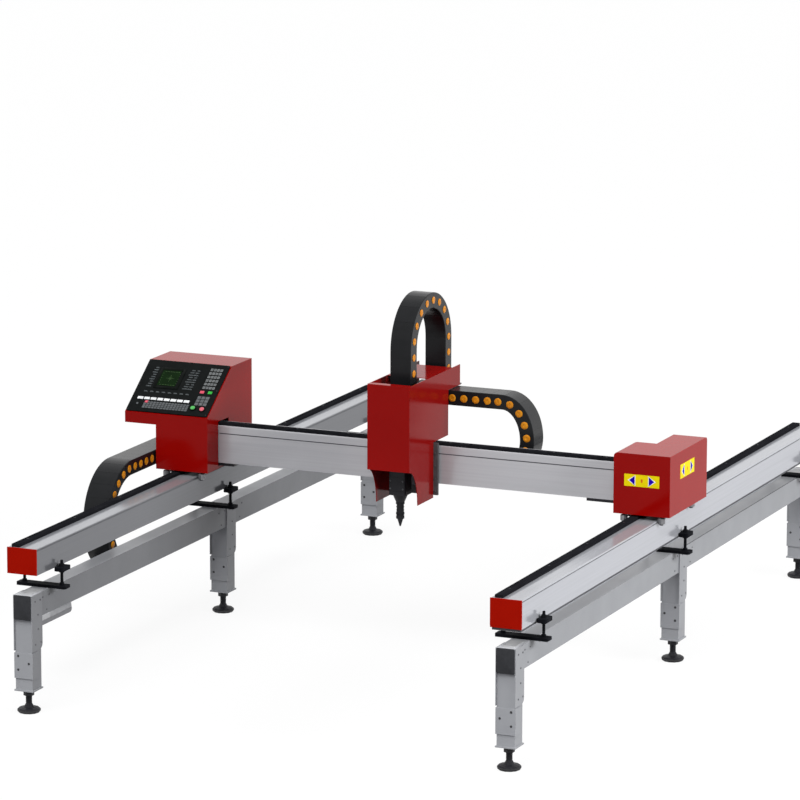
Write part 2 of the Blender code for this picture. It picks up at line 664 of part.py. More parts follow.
def roller_mesh(x, y):
    """Grooved roller with a bore for its stud."""
    low = ROLLER_TOP_Z - ROLLER_HEIGHT
    radius = ROLLER_RADIUS
    profile = [(0.0, low), (radius - ROLLER_CHAMFER, low), (radius, low + ROLLER_CHAMFER),
               (radius, ROLLER_TOP_Z - ROLLER_CHAMFER), (radius - ROLLER_CHAMFER, ROLLER_TOP_Z),
               (0.0, ROLLER_TOP_Z)]
    bore = rod("z", (x, y), ROLLER_BORE_RADIUS, low - ROLLER_CHAMFER, ROLLER_TOP_Z + ROLLER_CHAMFER,
               ROLLER_SIDES)
    return carve(turned((x, y), profile, ROLLER_SIDES), cuts=[bore])


def pinion_mesh(x, y, low, shaft_top):
    """Spur pinion with its shaft standing up into the motor."""
    outline = []
    steps = PINION_TEETH * 4
    root = PINION_PITCH_RADIUS - PINION_DEDENDUM
    for step in range(steps):
        radius = PINION_RADIUS if step % 4 in (0, 1) else root
        angle = 2 * math.pi * (step + (0.15 if step % 4 in (0, 3) else -0.15)) / steps
        outline.append((x + radius * math.cos(angle), y + radius * math.sin(angle)))
    gear = prism("z", outline, low, low + PINION_WIDTH)
    shaft = rod("z", (x, y), PINION_SHAFT_RADIUS, low + PINION_WIDTH / 2, shaft_top, 12)
    return carve(gear, joins=[shaft])


def motor_mesh(x, y, low, width, height):
    """Square servo motor on a wider flange, with a socket for its shaft."""
    body = rounded_rectangle(x - width / 2, x + width / 2, y - width / 2, y + width / 2, MOTOR_CORNER, 2)
    wide = width / 2 + (MOTOR_FLANGE_WIDTH - MOTOR_WIDTH) / 2
    flange = rounded_rectangle(x - wide, x + wide, y - wide, y + wide, MOTOR_CORNER, 2)
    socket = rod("z", (x, y), PINION_SHAFT_RADIUS + RUNNING, low - MOTOR_FLANGE_THICKNESS,
                 low + 2 * PINION_SHAFT_REACH, 12)
    solid = carve(prism("z", flange, low, low + MOTOR_FLANGE_THICKNESS),
                  joins=[prism("z", body, low + MOTOR_FLANGE_THICKNESS / 2, low + height)], cuts=[socket])
    return solid


def make_carriage(side, x, reach, way):
    """Plate that rides on one rail: four rollers on studs, a pinion on the rack and its motor."""
    plate_top = CARRIAGE_PLATE_Z + CARRIAGE_PLATE_THICKNESS
    plate = prism("z", tongue_outline(x, reach, way), CARRIAGE_PLATE_Z, plate_top)
    walls = (PEDESTAL_LEFT, CABINET_RIGHT, True) if way > 0 else (DRIVE_BOX_HALF, DRIVE_BOX_HALF, False)
    joins = cover_tabs(x, *walls)
    low = ROLLER_TOP_Z - ROLLER_HEIGHT
    head_top = low - RUNNING
    for name, roller_x, roller_y in roller_places(x):
        centre = (roller_x, roller_y)
        stud_low = head_top - ROLLER_STUD_HEAD_HEIGHT / 2
        stud = rod("z", centre, ROLLER_STUD_RADIUS, stud_low, CARRIAGE_PLATE_Z + SHEET, 8)
        head = rod("z", centre, ROLLER_STUD_HEAD_RADIUS, head_top - ROLLER_STUD_HEAD_HEIGHT, head_top, 6)
        joins.append(carve(stud, joins=[head]))
        add(f"{side}_{name}_roller", roller_mesh(roller_x, roller_y), BRIGHT_STEEL,
            (roller_x, roller_y, ROLLER_TOP_Z), GANTRY)
    pinion_x = x - RAIL_WIDTH / 2 + RAIL_RACK_INSET - PINION_SEAT
    pinion_y = BEAM_FRONT_Y - PINION_FROM_BEAM
    hole = rod("z", (pinion_x, pinion_y), SHAFT_HOLE_RADIUS, CARRIAGE_PLATE_Z - SHEET, plate_top + SHEET, 12)
    add(f"{side}_carriage_plate", carve(plate, joins=joins, cuts=[hole]), BLACK_STEEL,
        (x, BEAM_FRONT_Y, CARRIAGE_PLATE_Z), GANTRY)
    pinion_low = RAIL_TOP_Z + PINION_LIFT
    motor_low = plate_top + SEAT
    pinion = pinion_mesh(pinion_x, pinion_y, pinion_low, motor_low + PINION_SHAFT_REACH)
    add(f"{side}_pinion", pinion, BRIGHT_STEEL, (pinion_x, pinion_y, pinion_low), GANTRY)
    motor = motor_mesh(pinion_x, pinion_y, motor_low, MOTOR_WIDTH, MOTOR_HEIGHT)
    add(f"{side}_drive_motor", motor, BLACK_STEEL, (pinion_x, pinion_y, motor_low), GANTRY)


def make_beam():
    """Hollow cross beam on the two carriages, with the rack for the head along its top."""
    start = LEFT_RAIL_X - BEAM_END_PAST_LEFT_RAIL
    end = RIGHT_RAIL_X + BEAM_END_PAST_RIGHT_RAIL
    middle = BEAM_FRONT_Y + BEAM_DEPTH / 2
    outline = [(middle + px, BEAM_BASE_Z + pz)
               for px, pz in extrusion_outline(BEAM_DEPTH, BEAM_HEIGHT, BEAM_GROOVE_DROP)]
    wall = BEAM_WALL + GROOVE_DEPTH
    hollow = block((start - wall, BEAM_FRONT_Y + wall, BEAM_BASE_Z + BEAM_WALL),
                   (end + wall, BEAM_REAR_Y - wall, BEAM_TOP_Z - BEAM_WALL))
    add("cross_beam", carve(prism("x", outline, start, end), cuts=[hollow]), ALUMINIUM,
        (start, BEAM_FRONT_Y, BEAM_BASE_Z), GANTRY)
    rack_y = BEAM_FRONT_Y + BEAM_RACK_INSET
    rack = block((start + RACK_END_GAP, rack_y, BEAM_TOP_Z + SEAT),
                 (end - RACK_END_GAP, rack_y + RACK_WIDTH, BEAM_TOP_Z + SEAT + RACK_HEIGHT))
    add("beam_rack", rack, BLACK_STEEL, (start, rack_y, BEAM_TOP_Z), GANTRY)


def beam_tunnel(x0, x1):
    """Cutter that lets the beam, its rack and the carriage tongue through a housing wall."""
    return block((x0, BEAM_FRONT_Y - TUNNEL_GAP, CARRIAGE_PLATE_Z - TUNNEL_GAP),
                 (x1, BEAM_REAR_Y + TUNNEL_GAP, BEAM_TOP_Z + SEAT + RACK_HEIGHT + TUNNEL_GAP))


def cabinet_profile(inset):
    """Side view of the upper cabinet, pulled in by the sheet thickness for its inside."""
    front = BEAM_FRONT_Y - COVER_FRONT + inset
    rear = BEAM_FRONT_Y + CABINET_REAR - inset
    low = CABINET_BASE_Z + inset
    top = CABINET_TOP_Z - inset
    drop = inset / math.cos(SLOPE_ANGLE)
    lip = CABINET_BASE_Z + CABINET_LIP_HEIGHT + inset * math.tan(SLOPE_ANGLE) - drop
    slope_end = front - inset + CABINET_SLOPE_RUN + (drop - inset) / math.tan(SLOPE_ANGLE)
    return [(front, low), (rear, low), (rear, top), (slope_end, top), (front, lip)]


def make_cabinet():
    """Folded control cabinet: a sloping upper box over a narrower pedestal that hides the left carriage."""
    left = LEFT_RAIL_X - CABINET_LEFT
    right = LEFT_RAIL_X + CABINET_RIGHT
    waist = LEFT_RAIL_X - PEDESTAL_LEFT
    front = BEAM_FRONT_Y - COVER_FRONT
    rear = BEAM_FRONT_Y + CABINET_REAR
    upper = prism("x", cabinet_profile(0.0), left, right)
    pedestal = block((waist, front, COVER_BOTTOM_Z), (right, rear, CABINET_BASE_Z + SHEET))
    inside = prism("x", cabinet_profile(SHEET), left + SHEET, right - SHEET)
    well = block((waist + SHEET, front + SHEET, COVER_BOTTOM_Z - SHEET),
                 (right - SHEET, rear - SHEET, CABINET_BASE_Z + 2 * SHEET))
    tunnel = beam_tunnel(right - 2 * SHEET, right + SHEET)
    shell = carve(upper, joins=[pedestal], cuts=[inside, well, tunnel])
    add("control_cabinet", shell, RED_SHEET, (LEFT_RAIL_X, BEAM_FRONT_Y, COVER_BOTTOM_Z), GANTRY)


def on_slope(mesh):
    """Lay a piece drawn flat (x along the panel, y up the slope, z off its face) on the sloping face."""
    mesh.transform(Matrix.Translation(SLOPE_FOOT) @ Matrix.Rotation(SLOPE_ANGLE, 4, "X"))
    return mesh


def make_controller():
    """Black controller plate with its screen and two round push buttons."""
    outline = rounded_rectangle(PANEL_MARGIN, CABINET_WIDTH - PANEL_MARGIN,
                                PANEL_MARGIN, SLOPE_LENGTH - PANEL_MARGIN, PANEL_MARGIN, 2)
    plate = prism("z", outline, SEAT, SEAT + PANEL_THICKNESS)
    screen_low = PANEL_THICKNESS / 2
    glass = (SCREEN_LEFT + SCREEN_WIDTH, SCREEN_RISE + SCREEN_HEIGHT)
    recess = block((SCREEN_LEFT, SCREEN_RISE, screen_low), (*glass, 2 * PANEL_THICKNESS))
    cuts = [recess]
    for place in (START_BUTTON_PLACE, STOP_BUTTON_PLACE):
        cuts.append(rod("z", place, BUTTON_RADIUS + BUTTON_GAP, -PANEL_THICKNESS, 2 * PANEL_THICKNESS, 16))
    add("controller_panel", on_slope(carve(plate, cuts=cuts)), PANEL_BLACK, SLOPE_FOOT, GANTRY)
    screen = block((SCREEN_LEFT + SEAT, SCREEN_RISE + SEAT, screen_low + SEAT),
                   (glass[0] - SEAT, glass[1] - SEAT, PANEL_THICKNESS + SEAT + SCREEN_PROUD))
    add("display_screen", on_slope(screen), SCREEN_GREEN, SLOPE_FOOT, GANTRY)
    for name, place, material in (("start_button", START_BUTTON_PLACE, BUTTON_GREEN),
                                  ("stop_button", STOP_BUTTON_PLACE, BUTTON_RED)):
        top = BUTTON_FLOOR + BUTTON_HEIGHT
        crown = BUTTON_RADIUS / 6
        profile = [(0.0, BUTTON_FLOOR), (BUTTON_RADIUS, BUTTON_FLOOR), (BUTTON_RADIUS, top - crown),
                   (BUTTON_RADIUS - crown, top), (0.0, top)]
        button = on_slope(turned(place, profile, 16))
        pivot = SLOPE_FOOT + Matrix.Rotation(SLOPE_ANGLE, 3, "X") @ Vector((*place, BUTTON_FLOOR))
        add(name, button, material, pivot, GANTRY)


def drive_box_outline(inset):
    """Plan of the drive box, with its notched rear left corner."""
    left = RIGHT_RAIL_X - DRIVE_BOX_HALF + inset
    right = RIGHT_RAIL_X + DRIVE_BOX_HALF - inset
    notch = RIGHT_RAIL_X - DRIVE_BOX_NOTCH_X + inset
    front = BEAM_FRONT_Y - COVER_FRONT + inset
    middle = BEAM_FRONT_Y + DRIVE_BOX_NOTCH_REAR - inset
    rear = BEAM_FRONT_Y + DRIVE_BOX_REAR - inset
    return [(left, front), (right, front), (right, rear), (notch, rear), (notch, middle), (left, middle)]


def make_drive_box():
    """Red cover over the right carriage."""
    shell = prism("z", drive_box_outline(0.0), COVER_BOTTOM_Z, DRIVE_BOX_TOP_Z)
    left = RIGHT_RAIL_X - DRIVE_BOX_HALF
    rear = BEAM_FRONT_Y + DRIVE_BOX_REAR

    def soft(middle, way):
        high = middle.z > DRIVE_BOX_TOP_Z - SHEET
        return high and (abs(middle.x - left) < SHEET or abs(middle.y - rear) < SHEET)

    shell = bevelled(shell, DRIVE_BOX_ROUND, soft, 4)
    inside = prism("z", drive_box_outline(SHEET), COVER_BOTTOM_Z - SHEET, DRIVE_BOX_TOP_Z - SHEET)

    def soft_inside(middle, way):
        high = middle.z > DRIVE_BOX_TOP_Z - 2 * SHEET
        return high and (abs(middle.x - left) < 2 * SHEET or abs(middle.y - rear) < 2 * SHEET)

    inside = bevelled(inside, DRIVE_BOX_ROUND - SHEET, soft_inside, 4)
    tunnel = beam_tunnel(left - SHEET, left + 2 * SHEET)
    room_left = RIGHT_RAIL_X - CARRIAGE_HALF_WIDTH - TUNNEL_GAP
    room_right = RIGHT_RAIL_X - DRIVE_BOX_NOTCH_X + 2 * SHEET
    room_front = BEAM_FRONT_Y + DRIVE_BOX_NOTCH_REAR - 2 * SHEET
    room_rear = BEAM_FRONT_Y + CARRIAGE_REAR + TUNNEL_GAP
    plate_room = block((room_left, room_front, COVER_BOTTOM_Z - SHEET),
                       (room_right, room_rear, CARRIAGE_PLATE_Z + CARRIAGE_PLATE_THICKNESS + TUNNEL_GAP))
    add("drive_box_cover", carve(shell, cuts=[inside, tunnel, plate_room]), RED_SHEET,
        (RIGHT_RAIL_X, BEAM_FRONT_Y, COVER_BOTTOM_Z), GANTRY)


def make_head_carriage():
    """Bracket over the beam: front plate, saddle, rear upright, chain shelf and the lift motor's mount."""
    plate_rear = HEAD_PLATE_Y + HEAD_PLATE_THICKNESS
    saddle_top = SADDLE_Z + SADDLE_THICKNESS
    inner = HEAD_COVER_HALF - SHEET - SEAT
    rear = BEAM_FRONT_Y + SADDLE_REAR
    front_plate = block((HEAD_X - HEAD_PLATE_HALF, HEAD_PLATE_Y, HEAD_PLATE_BOTTOM_Z),
                        (HEAD_X + HEAD_PLATE_HALF, plate_rear, HEAD_COVER_STEP_Z - SHEET))
    neck = block((HEAD_X - inner, HEAD_PLATE_Y, HEAD_COVER_STEP_Z - 2 * SHEET),
                 (HEAD_X + inner, plate_rear, saddle_top))
    saddle = block((HEAD_X - inner, HEAD_PLATE_Y, SADDLE_Z), (HEAD_X + inner, rear, saddle_top))
    shoe = block((HEAD_X - inner, BEAM_FRONT_Y + BEAM_RACK_INSET, BEAM_TOP_Z + RACK_HEIGHT + 2 * SEAT),
                 (HEAD_X + inner, BEAM_FRONT_Y + BEAM_RACK_INSET + RACK_WIDTH / 2, SADDLE_Z + SHEET))
    upright = block((HEAD_X - inner, rear - 2 * SHEET, SADDLE_Z), (HEAD_X + inner, rear, SHELF_Z + 2 * SHEET))
    shelf = block((HEAD_X - inner, rear - 2 * SHEET, SHELF_Z),
                  (HEAD_X + inner, BEAM_FRONT_Y + SHELF_REAR, SHELF_Z + 2 * SHEET))
    mount = block((HEAD_X - LIFT_MOUNT_HALF, HEAD_PLATE_Y, SADDLE_Z),
                  (HEAD_X + LIFT_MOUNT_HALF, plate_rear, LIFT_MOUNT_TOP_Z))
    ledge_low = LIFT_MOUNT_TOP_Z - LIFT_MOUNT_THICKNESS
    ledge = block((HEAD_X - LIFT_MOUNT_HALF, HEAD_PLATE_Y - LIFT_MOUNT_REACH, ledge_low),
                  (HEAD_X + LIFT_MOUNT_HALF, plate_rear, LIFT_MOUNT_TOP_Z))
    pinion = head_pinion_place()
    holes = [rod("z", pinion, SHAFT_HOLE_RADIUS, SADDLE_Z - SHEET, saddle_top + SHEET, 12),
             rod("z", (HEAD_X, LIFT_PLATE_Y + LIFT_GAP / 2), LIFT_SCREW_RADIUS + RUNNING,
                 LIFT_MOUNT_TOP_Z - 2 * LIFT_MOUNT_THICKNESS, LIFT_MOUNT_TOP_Z + SHEET, 12)]
    bracket = carve(front_plate, joins=[neck, saddle, shoe, upright, shelf, mount, ledge], cuts=holes)
    add("head_carriage", bracket, BLACK_STEEL, (HEAD_X, BEAM_FRONT_Y, BEAM_TOP_Z), HEAD)
    motor_low = saddle_top + SEAT
    pinion_low = BEAM_TOP_Z + PINION_LIFT
    add("head_pinion", pinion_mesh(*pinion, pinion_low, motor_low + PINION_SHAFT_REACH), BRIGHT_STEEL,
        (*pinion, pinion_low), HEAD)
    add("head_drive_motor", motor_mesh(*pinion, motor_low, MOTOR_WIDTH, MOTOR_HEIGHT), BLACK_STEEL,
        (*pinion, motor_low), HEAD)


def head_pinion_place():
    """Axis of the pinion that runs along the rear face of the beam's rack."""
    return (HEAD_X, BEAM_FRONT_Y + BEAM_RACK_INSET + RACK_WIDTH + PINION_SEAT)


def head_cover_outline():
    """Side view of the head cover's cheeks, from the front round the curved cut to the flap over the chain."""
    front = BEAM_FRONT_Y - HEAD_COVER_FRONT
    fall = HEAD_COVER_FRONT_BOTTOM_Z - HEAD_COVER_TIP_Z
    points = []
    for step in range(7):
        angle = math.radians(15 * step)
        points.append((front + HEAD_COVER_CUT_RUN * math.sin(angle),
                       HEAD_COVER_TIP_Z + fall * math.cos(angle)))
    lower_rear = BEAM_FRONT_Y - HEAD_COVER_LOWER_REAR
    upper_rear = BEAM_FRONT_Y + HEAD_COVER_UPPER_REAR
    flap_rear = BEAM_FRONT_Y + HEAD_COVER_FLAP_REAR
    points += [(lower_rear, HEAD_COVER_TIP_Z), (lower_rear, HEAD_COVER_STEP_Z),
               (upper_rear, HEAD_COVER_STEP_Z), (upper_rear, HEAD_COVER_FLAP_Z),
               (flap_rear, HEAD_COVER_FLAP_Z), (flap_rear, HEAD_COVER_TOP_Z), (front, HEAD_COVER_TOP_Z)]
    return points


def make_head_cover():
    """Folded red cover of the head: front, two cheeks and a roof that leaves room for the chain."""
    front = BEAM_FRONT_Y - HEAD_COVER_FRONT
    inner = HEAD_COVER_HALF - SHEET
    past = BEAM_FRONT_Y + HEAD_COVER_FLAP_REAR + SHEET
    shell = prism("x", head_cover_outline(), HEAD_X - HEAD_COVER_HALF, HEAD_X + HEAD_COVER_HALF)
    inside = block((HEAD_X - inner, front + SHEET, HEAD_COVER_TIP_Z - SHEET),
                   (HEAD_X + inner, past, HEAD_COVER_TOP_Z - SHEET))
    mouth = block((HEAD_X - inner, front + HEAD_COVER_LIP, HEAD_COVER_TOP_Z - 2 * SHEET),
                  (HEAD_X + inner, BEAM_FRONT_Y - HEAD_COVER_OPENING_END, HEAD_COVER_TOP_Z + SHEET))
    rear_mouth = block((HEAD_X - inner, BEAM_FRONT_Y + HEAD_COVER_ROOF_END, HEAD_COVER_TOP_Z - 2 * SHEET),
                       (HEAD_X + inner, past, HEAD_COVER_TOP_Z + SHEET))
    add("head_cover", carve(shell, cuts=[inside, mouth, rear_mouth]), RED_SHEET,
        (HEAD_X, BEAM_FRONT_Y, HEAD_COVER_TOP_Z), HEAD)


def make_lift():
    """Lift motor and screw on the carriage; slide, cutting head and nozzle that they raise and lower."""
    screw = (HEAD_X, LIFT_PLATE_Y + LIFT_GAP / 2)
    motor_low = LIFT_MOUNT_TOP_Z + SEAT
    add("lift_motor", motor_mesh(*screw, motor_low, LIFT_MOTOR_WIDTH, LIFT_MOTOR_HEIGHT), BLACK_STEEL,
        (*screw, motor_low), HEAD)
    shaft = rod("z", screw, PINION_SHAFT_RADIUS, LIFT_MOUNT_TOP_Z - SHEET, motor_low + PINION_SHAFT_REACH, 12)
    thread_top = LIFT_MOUNT_TOP_Z - LIFT_MOUNT_THICKNESS / 4
    thread = rod("z", screw, LIFT_SCREW_RADIUS, LIFT_SCREW_BOTTOM_Z, thread_top, 12)
    add("lift_screw", carve(thread, joins=[shaft]), BRIGHT_STEEL, (*screw, LIFT_SCREW_BOTTOM_Z), HEAD)
    slide = block((HEAD_X - LIFT_PLATE_HALF, LIFT_PLATE_Y - LIFT_PLATE_THICKNESS, LIFT_PLATE_BOTTOM_Z),
                  (HEAD_X + LIFT_PLATE_HALF, LIFT_PLATE_Y, LIFT_PLATE_TOP_Z))
    joins = []
    for side in (-1, 1):
        runner = HEAD_X + side * LIFT_RUNNER_SPACING / 2
        joins.append(block((runner - LIFT_RUNNER_WIDTH / 2, LIFT_PLATE_Y - SHEET, LIFT_PLATE_BOTTOM_Z),
                           (runner + LIFT_RUNNER_WIDTH / 2, HEAD_PLATE_Y - SEAT, LIFT_PLATE_TOP_Z)))
    joins.append(block((HEAD_X - LIFT_NUT_HALF, LIFT_PLATE_Y - SHEET, LIFT_NUT_BOTTOM_Z),
                       (HEAD_X + LIFT_NUT_HALF, HEAD_PLATE_Y - RUNNING, LIFT_NUT_BOTTOM_Z + LIFT_NUT_HEIGHT)))
    body_rear = HEAD_Y + HEAD_BODY_DEPTH / 2
    joins.append(block((HEAD_X - HEAD_ARM_HALF, body_rear + SEAT, HEAD_ARM_BOTTOM_Z),
                       (HEAD_X + HEAD_ARM_HALF, LIFT_PLATE_Y - SHEET, HEAD_ARM_TOP_Z)))
    thread_hole = rod("z", screw, LIFT_SCREW_RADIUS + RUNNING, LIFT_NUT_BOTTOM_Z - SHEET,
                      LIFT_NUT_BOTTOM_Z + LIFT_NUT_HEIGHT + SHEET, 12)
    add("lift_slide", carve(slide, joins=joins, cuts=[thread_hole]), ALUMINIUM,
        (HEAD_X, HEAD_Y, LIFT_NUT_BOTTOM_Z), LIFT)
    half, depth = HEAD_BODY_WIDTH / 2, HEAD_BODY_DEPTH / 2
    body = prism("z", rounded_rectangle(HEAD_X - half, HEAD_X + half, HEAD_Y - depth, HEAD_Y + depth,
                                        HEAD_BODY_CORNER, 2), HEAD_BODY_BOTTOM_Z, HEAD_BODY_TOP_Z)
    overlap = SHEET
    neck_radius = HEAD_NECK_RADIUS - overlap / 3
    axis = (HEAD_X, HEAD_Y)
    taper = rod("z", axis, HEAD_NECK_RADIUS, HEAD_TAPER_BOTTOM_Z, HEAD_BODY_BOTTOM_Z + overlap, 16, half - overlap)
    neck = rod("z", axis, neck_radius, HEAD_NECK_BOTTOM_Z, HEAD_TAPER_BOTTOM_Z + overlap, 16)
    top_half = HEAD_BLOCK_WIDTH / 2
    top_outline = rounded_rectangle(HEAD_X - top_half, HEAD_X + top_half, HEAD_Y - top_half,
                                    HEAD_Y + HEAD_BLOCK_REAR, HEAD_BODY_CORNER, 2)
    top = prism("z", top_outline, HEAD_BODY_TOP_Z - overlap, HEAD_BLOCK_TOP_Z)
    add("cutting_head", carve(body, joins=[taper, neck, top]), BLACK_STEEL, (*axis, HEAD_NECK_BOTTOM_Z), LIFT)
    collar_top = HEAD_NECK_BOTTOM_Z - SEAT
    profile = [(0.0, NOZZLE_TIP_Z), (NOZZLE_TIP_RADIUS, NOZZLE_TIP_Z),
               (NOZZLE_COLLAR_RADIUS * 0.7, NOZZLE_COLLAR_Z - SHEET), (NOZZLE_COLLAR_RADIUS, NOZZLE_COLLAR_Z),
               (NOZZLE_COLLAR_RADIUS, collar_top - SHEET), (neck_radius, collar_top), (0.0, collar_top)]
    bore = rod("z", (HEAD_X, HEAD_Y), NOZZLE_BORE_RADIUS, NOZZLE_TIP_Z - SHEET, collar_top + SHEET, 8)
    add("cutting_nozzle", carve(turned((HEAD_X, HEAD_Y), profile, 16), cuts=[bore]), BLACK_STEEL,
        (HEAD_X, HEAD_Y, NOZZLE_TIP_Z), LIFT)


def arc(centre, radius, start, end, count):
    """Points along an arc; angles in degrees."""
    return [(centre[0] + radius * math.cos(math.radians(start + (end - start) * step / count)),
             centre[1] + radius * math.sin(math.radians(start + (end - start) * step / count)))
            for step in range(count + 1)]


def even_path(points, pitch):
    """The path resampled at the pitch, from its first point on; the last link takes what is left."""
    lengths = [math.dist(a, b) for a, b in zip(points, points[1:])]
    total = sum(lengths)
    count = max(2, round(total / pitch))
    wanted = [total * step / count for step in range(count + 1)]
    result = []
    for distance in wanted:
        walked = 0.0
        for (a, b), length in zip(zip(points, points[1:]), lengths):
            if walked + length >= distance - 1e-9:
                share = (distance - walked) / length
                result.append((a[0] + share * (b[0] - a[0]), a[1] + share * (b[1] - a[1])))
                break
            walked += length
    return result


def normals(path, first_way):
    """Unit normal at each point of a path, to the left of its direction; the first direction may be given."""
    result = []
    for index in range(len(path)):
        before = path[max(index - 1, 0)]
        after = path[min(index + 1, len(path) - 1)]
        way = Vector((after[0] - before[0], after[1] - before[1])).normalized()
        if index == 0 and first_way:
            way = Vector(first_way)
        result.append((-way.y, way.x))
    return result


def offset_outline(path, half, notch, first_way):
    """Closed outline of a band of links: both sides of the path, pinched in where two links meet."""
    sides = {1: [], -1: []}
    across = normals(path, first_way)
    for side, line in sides.items():
        for index, (point, normal) in enumerate(zip(path, across)):
            reach = half - (notch if 0 < index < len(path) - 1 else 0.0)
            line.append((point[0] + side * reach * normal[0], point[1] + side * reach * normal[1]))
            if index + 1 < len(path):
                middle = [(point[k] + path[index + 1][k]) / 2 for k in (0, 1)]
                blend = (Vector(normal) + Vector(across[index + 1])).normalized()
                line.append((middle[0] + side * half * blend.x, middle[1] + side * half * blend.y))
    return sides[1] + sides[-1][::-1]


def chain_mesh(axis, points, centre, width, height, pitch, first_way=None):
    """Drag chain along a path: a hollow band of closed links, open at both ends."""
    path = even_path(points, pitch)
    band = prism(axis, offset_outline(path, height / 2, CHAIN_NOTCH, first_way),
                 centre - width / 2, centre + width / 2)
    ends = []
    for end, inner in ((path[0], path[1]), (path[-1], path[-2])):
        ends.append(tuple(end[k] + (end[k] - inner[k]) * 0.2 for k in (0, 1)))
    core = [ends[0]] + path[1:-1] + [ends[1]]
    hollow = prism(axis, offset_outline(core, height / 2 - CHAIN_SKIN, 0.0, first_way),
                   centre - width / 2 + CHAIN_SKIN, centre + width / 2 - CHAIN_SKIN)
    return carve(band, cuts=[hollow])


def make_side_chain():
    """Chain from the tray on the left under-frame to the cabinet; its loop travels at half the gantry's speed."""
    centre = LEFT_RAIL_X - SIDE_CHAIN_FROM_RAIL
    bend_y = BEAM_FRONT_Y - SIDE_CHAIN_BEND_FROM_BEAM
    bend_z = SIDE_CHAIN_TOP_Z - SIDE_CHAIN_RADIUS
    end_y = BEAM_FRONT_Y + SIDE_CHAIN_END_FROM_BEAM
    low_z = bend_z - SIDE_CHAIN_RADIUS
    run = [(end_y, SIDE_CHAIN_TOP_Z), (bend_y + SEAT, SIDE_CHAIN_TOP_Z)]
    add("side_chain_run", chain_mesh("x", run, centre, CHAIN_WIDTH, CHAIN_HEIGHT, CHAIN_PITCH), CHAIN_PLASTIC,
        (centre, end_y, SIDE_CHAIN_TOP_Z), GANTRY)
    loop = arc((bend_y, bend_z), SIDE_CHAIN_RADIUS, 90, 270, 24) + [(bend_y + SIDE_CHAIN_LOWER_LENGTH, low_z)]
    add("side_chain_loop", chain_mesh("x", loop, centre, CHAIN_WIDTH, CHAIN_HEIGHT, CHAIN_PITCH, (-1.0, 0.0)),
        CHAIN_PLASTIC, (centre, bend_y, bend_z), GANTRY)
    floor = low_z - CHAIN_HEIGHT / 2 - SEAT
    inner = CHAIN_WIDTH / 2 + TRAY_SIDE_GAP
    outer = inner + SHEET
    start = FRONT_Y + SIDE_TRAY_FRONT
    end = start + SIDE_TRAY_LENGTH
    rim = floor + TRAY_WALL_RISE
    section = [(centre - outer, floor - SHEET), (centre + outer, floor - SHEET), (centre + outer, rim),
               (centre + inner, rim), (centre + inner, floor), (centre - inner, floor),
               (centre - inner, rim), (centre - outer, rim)]
    tube_side = LEFT_RAIL_X - TUBE_WIDTH / 2 - SEAT
    wall = centre + inner + SHEET / 2
    arm_low = TUBE_BOTTOM_Z + SIDE_TRAY_ARM_ABOVE_TUBE_FOOT
    arm_high = arm_low + SIDE_TRAY_ARM_FLANGE
    arms = []
    for step in (-1, 0, 1):
        middle = (start + end) / 2 + step * SIDE_TRAY_ARM_SPACING
        near, far = middle - SIDE_TRAY_ARM_WIDTH / 2, middle + SIDE_TRAY_ARM_WIDTH / 2
        arm = [(wall, floor + SHEET), (wall + SHEET, floor + SHEET), (wall + SHEET, arm_low),
               (tube_side, arm_low), (tube_side, arm_high), (tube_side - SHEET, arm_high),
               (tube_side - SHEET, arm_low + SHEET), (wall, arm_low + SHEET)]
        arms.append(prism("y", arm, near, far))
    add("side_chain_tray", carve(prism("y", section, start, end), joins=arms), STEEL, (centre, start, floor))


def make_beam_chain():
    """Chain behind the beam, from its tray up to the head carriage."""
    centre = BEAM_FRONT_Y + BEAM_CHAIN_FROM_BEAM
    bend_x = HEAD_X + BEAM_CHAIN_BEND_FROM_HEAD
    bend_z = BEAM_CHAIN_TOP_Z - BEAM_CHAIN_RADIUS
    low_z = bend_z - BEAM_CHAIN_RADIUS
    start_x = HEAD_X - BEAM_CHAIN_END_FROM_HEAD
    run = [(start_x, BEAM_CHAIN_TOP_Z), (bend_x - SEAT, BEAM_CHAIN_TOP_Z)]
    add("beam_chain_run", chain_mesh("y", run, centre, CHAIN_WIDTH, CHAIN_HEIGHT, CHAIN_PITCH), CHAIN_PLASTIC,
        (start_x, centre, BEAM_CHAIN_TOP_Z), HEAD)
    loop = arc((bend_x, bend_z), BEAM_CHAIN_RADIUS, 90, -90, 24) + [(bend_x - BEAM_CHAIN_LOWER_LENGTH, low_z)]
    add("beam_chain_loop", chain_mesh("y", loop, centre, CHAIN_WIDTH, CHAIN_HEIGHT, CHAIN_PITCH, (1.0, 0.0)),
        CHAIN_PLASTIC, (bend_x, centre, bend_z), HEAD)
    floor = low_z - CHAIN_HEIGHT / 2 - SEAT
    inner = CHAIN_WIDTH / 2 + TRAY_SIDE_GAP
    outer = inner + SHEET
    back = BEAM_REAR_Y + SEAT
    rim = floor + TRAY_WALL_RISE
    flange = floor + BEAM_TRAY_FLANGE
    section = [(back, floor - SHEET), (centre + outer, floor - SHEET), (centre + outer, rim),
               (centre + inner, rim), (centre + inner, floor), (back + SHEET, floor),
               (back + SHEET, flange), (back, flange)]
    start = LEFT_RAIL_X + BEAM_TRAY_FROM_RAIL
    end = RIGHT_RAIL_X - DRIVE_BOX_HALF - BEAM_TRAY_END_GAP
    add("beam_chain_tray", prism("x", section, start, end), STEEL, (start, centre, floor), GANTRY)


